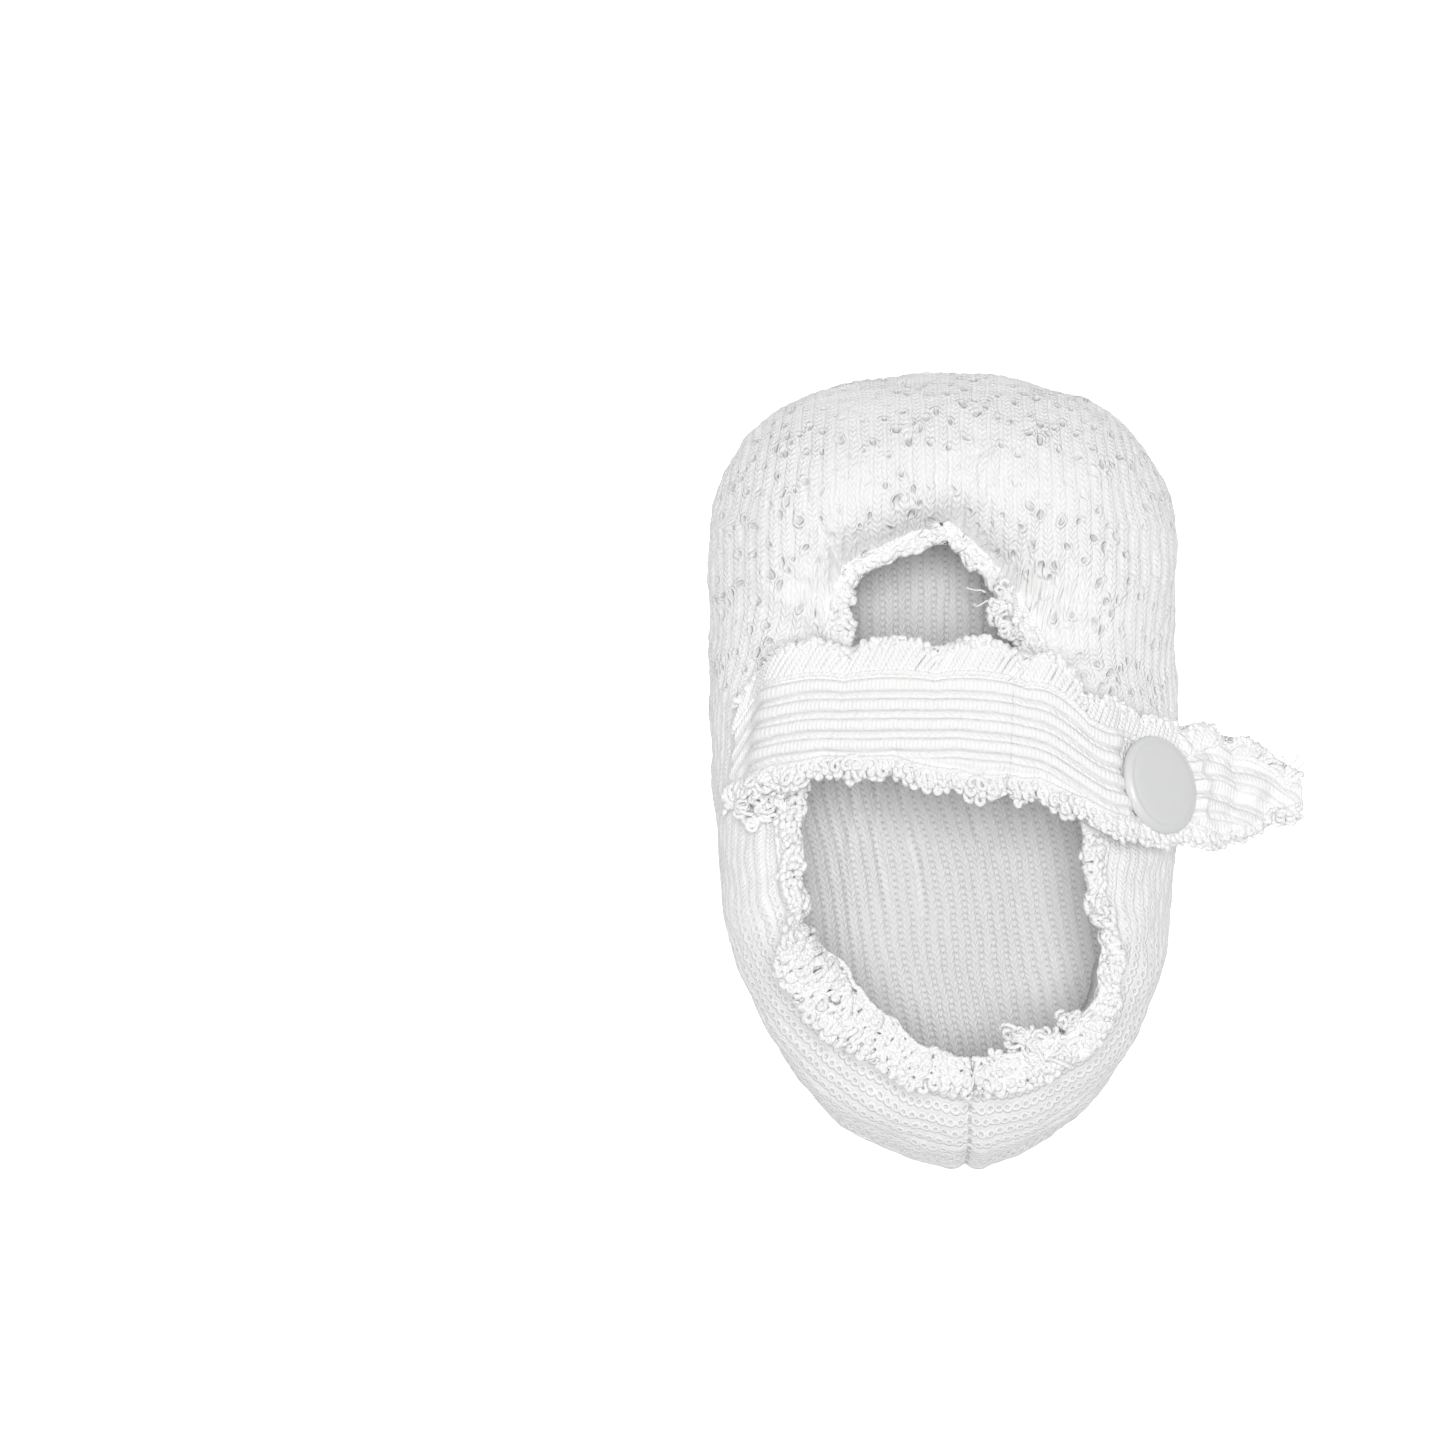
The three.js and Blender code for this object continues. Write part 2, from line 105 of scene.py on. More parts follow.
# a smooth curve through points of shape (count, ..., 3), read at each t from 0 to 1
def curveThrough(points, t, closed=False):
    points = np.asarray(points, float)
    count = len(points)
    spans = count if closed else count - 1
    place = np.clip(t, 0, 1) * spans
    first = np.minimum(place.astype(int), spans - 1)
    if closed:
        p = [points[(first + k) % count] for k in (-1, 0, 1, 2)]
    else:
        ends = [2 * points[:1] - points[1:2], points, 2 * points[-1:] - points[-2:-1]]
        longer = np.concatenate(ends)
        p = [longer[first + k] for k in range(4)]
    f = (place - first).reshape((-1,) + (1,) * (points.ndim - 1))
    d = [np.maximum(np.linalg.norm(p[k + 1] - p[k], axis=-1, keepdims=True), 1e-4) ** 0.5 for k in range(3)]
    m1 = ((p[1] - p[0]) / d[0] - (p[2] - p[0]) / (d[0] + d[1]) + (p[2] - p[1]) / d[1]) * d[1]
    m2 = ((p[2] - p[1]) / d[1] - (p[3] - p[1]) / (d[1] + d[2]) + (p[3] - p[2]) / d[2]) * d[1]
    f2, f3 = f * f, f * f * f
    return (2 * f3 - 3 * f2 + 1) * p[1] + (f3 - 2 * f2 + f) * m1 + (3 * f2 - 2 * f3) * p[2] + (f3 - f2) * m2


# how far each point of a line is along it
def runAlong(line):
    return np.concatenate([[0], np.cumsum(np.linalg.norm(np.diff(line, axis=0), axis=1))])


# gentle random waves, from -1 to 1, over any coordinates
def waves(seed, wavelength, *coords):
    dice = np.random.default_rng(seed)
    total = np.zeros(np.broadcast(*coords).shape)
    for _ in range(9):
        turn = dice.normal(size=len(coords))
        turn *= 2 * math.pi / wavelength * dice.uniform(0.6, 1.5) / np.linalg.norm(turn)
        phase = dice.uniform(0, 2 * math.pi)
        total = total + np.sin(sum(k * c for k, c in zip(turn, coords)) + phase)
    return total / 4.5


# a smooth random value for each turn of a thread
def jitter(seed, count, at, size):
    dice = np.random.default_rng(seed)
    values = dice.uniform(-1, 1, count + 2)
    low = np.clip(at.astype(int), 0, count)
    f = at - low
    f = f * f * (3 - 2 * f)
    return size * mix(values[low], values[low + 1], f)


# the wall of the shoe: a table over u, round the shoe, and v, from sole seam to topline
tableU, tableV = 720, 161
# the overlocked edge: how far it reaches past the wall, and how much of it the threads cover
collar = {
    "start": 0.925, "throat": 1.7, "side": 3.3, "heel": 4.8, "bare": 0.3, "heelBare": 1.3,
    "extra": [(-1.4, 0.4, 0.05), (2.0, 0.59, 0.045)],  # more or less of it, place and width
}


def buildWall():
    u = np.arange(tableU) / tableU
    stations = np.array(shoe["stations"], float)
    flatBelly = np.column_stack([stations[:, 0], np.full(len(stations), shoe["bellyHeight"])])
    topHeight = mix(shoe["heelHeight"], shoe["throatHeight"],
                    smooth(shoe["heelY"], shoe["throatY"], stations[:, 1, 1]))
    belly = curveThrough(flatBelly, u, closed=True)
    topline = curveThrough(np.column_stack([stations[:, 1], topHeight]), u, closed=True)
    along = np.roll(belly, -1, 0) - np.roll(belly, 1, 0)
    outward = unit(np.column_stack([-along[:, 1], along[:, 0], np.zeros(tableU)]))
    toe = smooth(8, 40, belly[:, 1])[:, None]
    shoulder = (belly + topline) / 2 + outward * mix(*shoe["shoulderOut"], toe)
    shoulder[:, 2] += mix(*shoe["shoulderLift"], toe[:, 0])
    seam = belly - outward * shoe["soleInset"]
    seam[:, 2] = shoe["soleThickness"] + shoe["seamGap"]
    fine = curveThrough(np.stack([seam, belly, shoulder, topline]), np.linspace(0, 1, 241))
    step = np.linalg.norm(np.diff(fine, axis=0), axis=2)
    length = np.concatenate([np.zeros((1, tableU)), np.cumsum(step, 0)])
    v = np.linspace(0, 1, tableV)
    wall = np.empty((tableU, tableV, 3))
    for i in range(tableU):
        for k in range(3):
            wall[i, :, k] = np.interp(v * length[-1, i], length[:, i], fine[:, i, k])
    return wall, outward, length[-1]


def wallNormals(wall):
    rounds = np.roll(wall, -1, 0) - np.roll(wall, 1, 0)
    ups = np.gradient(wall, axis=1)
    return unit(np.cross(ups, rounds))


wall, outward, wallLength = buildWall()
heelU = shoe["heelStation"] / len(shoe["stations"])


def readTable(table, u, v):
    u, v = np.broadcast_arrays(np.asarray(u, float) % 1.0, np.asarray(v, float))
    x, y = u * tableU, np.clip(v, 0, 1) * (tableV - 1)
    i, j = x.astype(int) % tableU, np.minimum(y.astype(int), tableV - 2)
    fx, fy = (x - np.floor(x))[..., None], (y - j)[..., None]
    nextI = (i + 1) % tableU
    low = mix(table[i, j], table[nextI, j], fx)
    high = mix(table[i, j + 1], table[nextI, j + 1], fx)
    return mix(low, high, fy)


# the snap's frame: out along the strap, across it towards the toe, and away from the shoe
def buildSnapFrame():
    origin = readTable(wall, snapFit["station"] / len(shoe["stations"]), snapFit["up"])
    tilt, turn = math.radians(snapFit["tilt"]), math.radians(snapFit["turn"])
    axis = np.array([math.sin(tilt) * math.cos(turn), math.sin(tilt) * math.sin(turn), math.cos(tilt)])
    heading = np.array([*snapFit["heading"], 0.0])
    heading[2] = -(heading @ axis) / axis[2]
    out = unit(heading)
    return origin, np.stack([out, np.cross(axis, out), axis])


snapOrigin, snapAxes = buildSnapFrame()


def fromSnap(x, y, z):
    local = np.stack(np.broadcast_arrays(np.asarray(x, float), y, z), -1)
    return local @ snapAxes + snapOrigin


def toSnap(points):
    return (points - snapOrigin) @ snapAxes.T


# how far a place round the shoe belongs to the throat, and to the heel
def throatShare(u):
    return 1 - smooth(0.09, 0.2, np.abs(roundFrom(u)))


def heelShare(u):
    return 1 - smooth(0.07, 0.18, np.abs(roundFrom(u, heelU)))


drape = {
    "gutter": 0.45,  # depth of the dip beside the overlock
    "drop": 3.8,  # how far the vamp falls before the throat
    "gathers": 0.34,
    "throatMove": (-1.9, -2.0, 0),
    # moves of the throat's top: how far, and place and width round the shoe
    "throatLeans": [((2.4, -1.4, 0), 0.0, 0.042), ((0.2, 1.0, 0), 0.0, 0.034),
                    ((0.3, -1.7, 0), -0.058, 0.048)],
    # where the wall leans in: how far, and place and width round the shoe
    "wallLeans": [(1.5, 0.48, 0.11), (2.9, 0.59, 0.045)],
}


# soft shapes that the fabric falls into
def soften():
    global wall
    local = toSnap(wall)
    offAxis = np.hypot(local[..., 0], local[..., 1])
    near = np.abs(local[..., 2]) < snapFit["reach"]
    hold = np.where(near, 1 - smooth(snapFit["flat"] - 1, snapFit["fade"] - 2, offAxis), 0)
    local[..., 2] = mix(local[..., 2], 0, hold)
    wall = local @ snapAxes + snapOrigin
    normal = wallNormals(wall)
    x, y, z = (wall[..., k] for k in range(3))
    v = np.linspace(0, 1, tableV)[None, :]
    around = np.arange(tableU)[:, None] / tableU
    free = smooth(0.02, 0.3, v) * (1 - hold)
    push = 0.5 * waves(3, 24, x, y, z) + 0.26 * waves(5, 9, x, y, z) + 0.09 * waves(6, 2.6, x, y, z)
    # a gutter runs beside the overlock, and the vamp drops into it before the throat
    push = push - bell(v, 0.905, 0.035) * drape["gutter"] * (1 - throatShare(around))
    push = push - drape["drop"] * throatShare(around) * np.clip((v - 0.775) / 0.15, 0, 1.1) ** 2
    # small gathers run out of the topline
    gathers = waves(8, 0.02, around * 1.0, v * 0.004)
    push = push + drape["gathers"] * gathers * smooth(0.5, 0.92, v)
    wall = wall + normal * (push * free)[..., None]
    # the throat sits a little back and to the inner side
    shift = throatShare(around)[..., None] * smooth(0.45, 0.93, v)[..., None]
    wall = wall + np.array(drape["throatMove"]) * shift * (1 - hold)[..., None]
    # and its top leans to the outer side
    for move, at, width in drape["throatLeans"]:
        wall = wall + np.array(move) * shift * bell(roundFrom(around)[..., None], at, width)
    # the back of the wall leans in, most on the inner side
    lean = sum(size * bell(around, at, width) for size, at, width in drape["wallLeans"])
    wall = wall - outward[:, None, :] * (lean * smooth(0.5, 0.93, v) * (1 - hold))[..., None]


soften()


def collarReach(u):
    reach = mix(mix(collar["side"], collar["throat"], throatShare(u)), collar["heel"], heelShare(u))
    for more, at, width in collar["extra"]:
        reach = reach + more * bell(np.asarray(u) % 1, at, width)
    return reach


# the overlocked edge leaves the wall at the collar line and leans as the fabric lets it
def buildCollar():
    global wall
    start = int(collar["start"] * (tableV - 1))
    u = np.arange(tableU) / tableU
    up = unit(wall[:, start] - wall[:, start - 6])
    heel, throat = heelShare(u), throatShare(u)
    reach = collarReach(u)
    lie = outward * 0.95 + np.array([0, 0, 0.02])
    stand = unit(up + np.array([0, 0, 0.45]) * (1 + 2.5 * throat)[:, None])
    direction = unit(mix(stand, lie, (heel * 0.95)[:, None]))
    ruffle = waves(21, 0.032, u, u * 0) * mix(0.42, 0.85, heel)
    ruffle = ruffle + 0.22 * np.sin(u * 2 * math.pi * 27 + 2 * np.sin(u * 19))
    place = wall[:, start].copy()
    cells = tableV - 1 - start
    step = reach[:, None] / cells
    side = unit(np.cross(np.roll(wall[:, start], -1, 0) - np.roll(wall[:, start], 1, 0), up))
    for k in range(1, cells + 1):
        share = k / cells
        turn = smooth(0, 0.5, share)
        place = place + unit(mix(up, direction, turn)) * step
        sway = ruffle * share ** 1.3
        lifted = np.array([0, 0, 1.0]) * (sway * heel)[:, None]
        wall[:, start + k] = place - side * (sway * (1 - heel))[:, None] + lifted


buildCollar()
normals = wallNormals(wall)


def wallAt(u, v, lift=0.0):
    return readTable(wall, u, v) + unit(readTable(normals, u, v)) * np.asarray(lift, float)[..., None]


# the knit's own coordinates, in millimetres: across the wales and along them
def wallArc():
    middle = wall[:, int(0.55 * (tableV - 1))]
    step = np.linalg.norm(np.roll(middle, -1, 0)[:, :2] - middle[:, :2], axis=1)
    run = np.concatenate([[0], np.cumsum(step)])[:-1]
    u = np.arange(tableU) / tableU
    lateral = u < heelU
    zeroRight = np.interp(0, -middle[lateral, 1][5:], run[lateral][5:])
    medial = ~lateral
    zeroLeft = np.interp(0, middle[medial, 1][:-5], run[medial][:-5])
    return np.where(lateral, zeroRight - run, run - zeroLeft)


arcAlong = wallArc()
ridgeY = np.linspace(24, 44, 60)
toeLine = wall[0]
ridgeZ = np.interp(ridgeY, *(lambda top: (top[::-1, 1], top[::-1, 2]))(toeLine[toeLine[:, 2] > 12.2]))


def knitPlace(u, v, point):
    side = np.where((u % 1) < heelU, 1.0, -1.0)
    length = wallLength[(np.asarray(u % 1) * tableU).astype(int) % tableU]
    acrossSide = side * (9.5 + (1 - v) * length)
    x, y, z = point[..., 0], point[..., 1], point[..., 2]
    drop = np.maximum(np.interp(y, ridgeY, ridgeZ) - z, 0)
    acrossToe = np.sign(x) * np.sqrt(x * x + (drop * smooth(0, 9, np.abs(x))) ** 2)
    toe = smooth(4, 22, y)
    across = mix(acrossSide, acrossToe, toe)
    along = np.interp(np.asarray(u % 1) * tableU, np.arange(tableU), arcAlong)
    front = 28 + 22 * np.arctan2(np.maximum(y - 28, 0), np.maximum(z, 1))
    normal = unit(readTable(normals, u, v))
    frontShare = 1 - normal[..., 0] ** 2
    alongToe = mix(y, np.where(y > 28, front, y), frontShare)
    return across, mix(along, alongToe, smooth(8, 24, y))


knit = {
    "wale": 1.42,  # from rib to rib
    "course": 0.62,
    "ribHeight": 0.12,
    "openWidth": 7.1,  # the openwork's repeat across
    "openLength": 7.0,
    "holeRadius": 0.25,
}
# the openwork's eyelets within one repeat, from its middle, in wales and courses, and their size
eyelets = [(0.1, 1.8, 0.8), (-0.85, 0.1, 1.1), (0.65, 0.3, 0.75), (-0.1, -1.6, 1.15), (1.9, 3.9, 0.7),
           (-1.8, -3.8, 0.75), (1.6, -2.4, 0.7), (-2.0, 2.8, 0.6), (1.2, 2.2, 0.55), (-0.6, 4.6, 0.7)]


def ribProfile(across, pitch, sharp=1.0):
    return (0.5 + 0.5 * np.cos(across / pitch * 2 * math.pi)) ** sharp


def openworkDepth(across, along):
    column = np.floor(across / knit["openWidth"])
    shift = np.where(column % 2 == 0, 0.0, knit["openLength"] / 2)
    x = across - (column + 0.5) * knit["openWidth"]
    y = (along + shift) % knit["openLength"] - knit["openLength"] / 2
    hole = np.zeros(np.shape(across))
    for ex, ey, size in eyelets:
        far = np.hypot(x - ex * knit["wale"], y - ey * knit["course"])
        hole = np.maximum(hole, bell(far, 0, 0.5 * size))
    puff = np.exp(-((x / 1.6) ** 2 + (y / 1.9) ** 2))
    return hole, puff


# making meshes
mergeDistance = 2e-7


def meshFrom(bm, name):
    mesh = bpy.data.meshes.new(name)
    bm.to_mesh(mesh)
    bm.free()
    return mesh


def readPoints(mesh):
    flat = np.empty(len(mesh.vertices) * 3)
    mesh.vertices.foreach_get("co", flat)
    return flat.reshape(-1, 3)


# merges the doubled vertices of a mesh, makes a change to it, and points its faces outwards
def remake(mesh, change=None, outwards=True):
    bm = bmesh.new()
    bm.from_mesh(mesh)
    bmesh.ops.remove_doubles(bm, verts=bm.verts, dist=mergeDistance)
    if change:
        change(bm)
    if outwards:
        bmesh.ops.recalc_face_normals(bm, faces=bm.faces)
    bm.to_mesh(mesh)
    bm.free()


def closeEnds(bm):
    bmesh.ops.holes_fill(bm, edges=[e for e in bm.edges if e.is_boundary], sides=0)


# a grid moved onto the shape that place gives, with its fabric coordinates
def gridPiece(name, columns, rows, place, join=False, outwards=False):
    bm = bmesh.new()
    bmesh.ops.create_grid(bm, x_segments=columns, y_segments=rows, size=0.5)
    mesh = meshFrom(bm, name)
    flat = readPoints(mesh) + 0.5
    points, across, along = place(flat[:, 0], flat[:, 1])
    mesh.vertices.foreach_set("co", (points * mm).ravel())
    corner = np.empty(len(mesh.loops), int)
    mesh.loops.foreach_get("vertex_index", corner)
    uv = np.column_stack([across, along])[corner]
    mesh.uv_layers.new(name="fabric").data.foreach_set("uv", uv.ravel())
    if join:
        remake(mesh, outwards=outwards)
    return finishMesh(name, mesh)


def finishMesh(name, mesh):
    mesh.shade_smooth()
    piece = bpy.data.objects.new(name, mesh)
    bpy.context.collection.objects.link(piece)
    return piece


# a round thread swept along a line, closed at its ends, with its own length as the pattern's
def threadPiece(name, lines, radius, sides=5):
    made = []
    for number, line in enumerate(lines):
        line = np.asarray(line, float)
        tangent = unit(np.gradient(line, axis=0))
        first = np.cross(tangent[0], [0.3, 0.5, 0.8])
        side = np.empty_like(line)
        side[0] = unit(first)
        for k in range(1, len(line)):
            s = side[k - 1] - tangent[k] * (side[k - 1] @ tangent[k])
            side[k] = s / max(math.sqrt(s @ s), 1e-9)
        other = np.cross(tangent, side)
        run = runAlong(line)
        thick = radius * np.ones(len(line))
        thick[[0, -1]] *= 0.25
        last = len(line) - 1

        def place(a, b):
            k = np.rint(b * last).astype(int)
            turn = a * 2 * math.pi
            out = side[k] * np.cos(turn)[:, None] + other[k] * np.sin(turn)[:, None]
            return line[k] + out * thick[k][:, None], a, run[k]

        made.append(gridPiece(f"{name}Part{number}", sides, last, place, join=True))
    return joined(name, made)


def joined(name, pieces):
    bm = bmesh.new()
    for piece in pieces:
        bm.from_mesh(piece.data)
        old = piece.data
        bpy.data.objects.remove(piece)
        bpy.data.meshes.remove(old)
    closeEnds(bm)
    bmesh.ops.recalc_face_normals(bm, faces=bm.faces)
    return finishMesh(name, meshFrom(bm, name))


# materials
def addNode(tree, kind, **values):
    node = tree.nodes.new(kind)
    for name, value in values.items():
        setattr(node, name, value)
    return node


# a value in a node tree, so that a formula on it reads as one
class Wire:
    def __init__(self, tree, socket):
        self.tree = tree
        self.socket = socket

    def step(self, operation, *inputs):
        node = addNode(self.tree, "ShaderNodeMath", operation=operation)
        for socket, value in zip(node.inputs, inputs):
            feed(self.tree, value, socket)
        return Wire(self.tree, node.outputs[0])

    def clamped(self):
        self.socket.node.use_clamp = True
        return self

    def __add__(self, other):
        return self.step("ADD", self, other)

    def __sub__(self, other):
        return self.step("SUBTRACT", self, other)

    def __rsub__(self, other):
        return self.step("SUBTRACT", other, self)

    def __mul__(self, other):
        return self.step("MULTIPLY", self, other)

    def __truediv__(self, other):
        return self.step("DIVIDE", self, other)

    def __mod__(self, other):
        return self.step("FLOORED_MODULO", self, other)

    def __pow__(self, other):
        return self.step("POWER", self, other)

    def __abs__(self):
        return self.step("ABSOLUTE", self)


def feed(tree, value, socket):
    if isinstance(value, Wire):
        tree.links.new(value.socket, socket)
    else:
        socket.default_value = value


def fract(wire):
    return wire.step("FRACT", wire)


def wholePart(wire):
    return wire.step("FLOOR", wire)


def sine(wire):
    return wire.step("SINE", wire)


def root(wire):
    return wire.step("SQRT", wire)


def largest(first, second):
    return first.step("MAXIMUM", first, second)


def smallest(first, second):
    return first.step("MINIMUM", first, second)


def newGroup(name, inputs, outputs):
    group = bpy.data.node_groups.new(name, "ShaderNodeTree")
    for label, value in inputs.items():
        kind = "NodeSocketVector" if value is None else "NodeSocketFloat"
        socket = group.interface.new_socket(name=label, in_out="INPUT", socket_type=kind)
        if value is not None:
            socket.default_value = value
    for label in outputs:
        group.interface.new_socket(name=label, in_out="OUTPUT", socket_type="NodeSocketFloat")
    given = addNode(group, "NodeGroupInput")
    result = addNode(group, "NodeGroupOutput")
    return group, {label: Wire(group, given.outputs[label]) for label in inputs}, result.inputs


# V stitches in ribs: Across and Along count millimetres of fabric
def makeStitchGroup():
    group, given, result = newGroup("knitStitches", {
        "Across": 0.0, "Along": 0.0, "Wale": 1.4, "Course": 0.6,
    }, ["Height", "Valley", "Pit"])
    off = abs(fract(given["Across"] / given["Wale"] + 0.5) - 0.5)  # from the rib's middle
    row = given["Along"] / given["Course"]
    strand = fract(row + off * -1.9) - 0.5
    bulge = 1.0 - abs(strand * 2.0) ** 2.0 * 0.8
    leg = (1.0 - abs((off - 0.17) / 0.19) ** 2.0).clamped()
    valley = ((off - 0.3).clamped() * 8.0).clamped()
    bar = sine(row * (2 * math.pi)) * 0.5 + 0.5
    narrow = ((off - 0.36) * 7.0).clamped()
    feed(group, largest(root(leg) * bulge, bar * valley * 0.35), result["Height"])
    feed(group, valley, result["Valley"])
    feed(group, (1.0 - bar) ** 2.2 * narrow, result["Pit"])
    return group


# eyelets in loose clusters, each repeat dropped by half from the last
def makeOpenworkGroup():
    group, given, result = newGroup("openwork", {"Across": 0.0, "Along": 0.0}, ["Hole", "Rim"])
    width, length, radius = knit["openWidth"], knit["openLength"], knit["holeRadius"]
    column = wholePart(given["Across"] / width)
    x = given["Across"] - (column + 0.5) * width
    y = (given["Along"] + column % 2.0 * (length / 2)) % length - length / 2
    nearest = None
    for ex, ey, size in eyelets:
        dx = x - ex * knit["wale"]
        dy = (y - ey * knit["course"]) * 0.8
        far = root(dx * dx + dy * dy) + (1 - size) * radius
        nearest = far if nearest is None else smallest(nearest, far)
    feed(group, ((radius - nearest) / 0.3 + 0.5).clamped(), result["Hole"])
    ring = (nearest - (radius + 0.24)) / 0.22
    feed(group, (1.0 - ring * ring).clamped(), result["Rim"])
    return group


# rows of small rings, as a looser knit shows them
def makeChainGroup():
    group, given, result = newGroup("chainLoops", {
        "Across": 0.0, "Along": 0.0, "Row": 1.7, "Loop": 1.1,
    }, ["Height", "Hole"])
    row = given["Across"] / given["Row"]
    loop = given["Along"] / given["Loop"] + wholePart(row) % 2.0 * 0.5
    x = (fract(row) - 0.5) * given["Row"]
    y = (fract(loop) - 0.5) * given["Loop"]
    far = root(x * x + y * y)
    ring = (far - 0.42) / 0.24
    feed(group, root((1.0 - ring * ring).clamped()), result["Height"])
    feed(group, (1.0 - far / 0.3).clamped(), result["Hole"])
    return group


# broad ribs of ladder bars, each beside a thin slanted cord
def makeLadderGroup():
    group, given, result = newGroup("ladderRibs", {
        "Across": 0.0, "Along": 0.0, "Pitch": 2.13, "Bar": 0.45,
    }, ["Height", "Valley"])
    place = given["Across"] % given["Pitch"]
    bars = abs(sine(given["Along"] / given["Bar"] * math.pi))
    rib = (1.0 - abs((place - 1.38) / 0.68) ** 4.0).clamped()
    strand = abs(sine((given["Along"] / 0.8 + place * -0.9) * math.pi))
    fromCord = (place - 0.37) / 0.27
    cord = (1.0 - fromCord * fromCord).clamped()
    feed(group, rib * (bars * 0.4 + 0.55) + cord * (strand * 0.6), result["Height"])
    edge = smallest(place, given["Pitch"] - place)
    feed(group, (1.0 - edge / 0.16).clamped(), result["Valley"])
    return group


# soft fuzz and yarn hairs at two scales, and two slow drifts that pull a pattern out of true
def makeFuzzGroup():
    group, given, result = newGroup("yarnFuzz", {"Vector": None, "Scale": 2600.0},
                                    ["Fine", "Broad", "DriftAcross", "DriftAlong"])
    for label, factor in (("Fine", 1.0), ("Broad", 0.045), ("Drift", 0.13)):
        noise = addNode(group, "ShaderNodeTexNoise")
        feed(group, given["Vector"], noise.inputs["Vector"])
        feed(group, given["Scale"] * factor, noise.inputs["Scale"])
        noise.inputs["Detail"].default_value = 3.0 if label == "Fine" else 1.0
        if label == "Drift":
            parts = addNode(group, "ShaderNodeSeparateColor")
            group.links.new(noise.outputs["Color"], parts.inputs[0])
            for channel, name in enumerate(("DriftAcross", "DriftAlong")):
                feed(group, Wire(group, parts.outputs[channel]) - 0.5, result[name])
        else:
            group.links.new(noise.outputs["Fac"], result[label])
    return group


stitchGroup = makeStitchGroup()
openworkGroup = makeOpenworkGroup()
chainGroup = makeChainGroup()
ladderGroup = makeLadderGroup()
fuzzGroup = makeFuzzGroup()


def newMaterial(name, settings):
    material = bpy.data.materials.new(name)
    material.use_nodes = True
    shader = material.node_tree.nodes["Principled BSDF"]
    for label, value in settings.items():
        shader.inputs[label].default_value = value
    return material, material.node_tree


def finishMaterial(material, colour, height, strength, depth):
    tree = material.node_tree
    shader = tree.nodes["Principled BSDF"]
    feed(tree, colour, shader.inputs["Base Color"])
    bump = addNode(tree, "ShaderNodeBump")
    bump.inputs["Strength"].default_value = strength
    bump.inputs["Distance"].default_value = depth * mm
    feed(tree, height, bump.inputs["Height"])
    tree.links.new(bump.outputs["Normal"], shader.inputs["Normal"])
    return material


# a new fabric, its fuzz, and where the fabric's own map is across and along
def fabricBase(name, look):
    material, tree = newMaterial(name, {
        "Roughness": look["roughness"], "Sheen Weight": look["sheen"], "Sheen Roughness": 0.6,
        "Specular IOR Level": 0.2,
    })
    place = addNode(tree, "ShaderNodeTexCoord")
    node = addNode(tree, "ShaderNodeGroup", node_tree=fuzzGroup)
    tree.links.new(place.outputs["Object"], node.inputs["Vector"])
    fuzz = {socket.name: Wire(tree, socket) for socket in node.outputs}
    uv = addNode(tree, "ShaderNodeUVMap", uv_map="fabric")
    split = addNode(tree, "ShaderNodeSeparateXYZ")
    tree.links.new(uv.outputs["UV"], split.inputs[0])
    return material, fuzz, Wire(tree, split.outputs[0]), Wire(tree, split.outputs[1])


def blendColour(tree, amount, low, high):
    node = addNode(tree, "ShaderNodeMix", data_type="RGBA")
    feed(tree, amount, node.inputs["Factor"])
    for label, value in (("A", low), ("B", high)):
        feed(tree, value if isinstance(value, Wire) else (*value, 1), node.inputs[label])
    return Wire(tree, node.outputs["Result"])


def mapped(wire, low, high):
    node = addNode(wire.tree, "ShaderNodeMapRange", interpolation_type="SMOOTHSTEP")
    for label, value in (("Value", wire), ("From Min", low), ("From Max", high)):
        feed(wire.tree, value, node.inputs[label])
    return Wire(wire.tree, node.outputs["Result"])


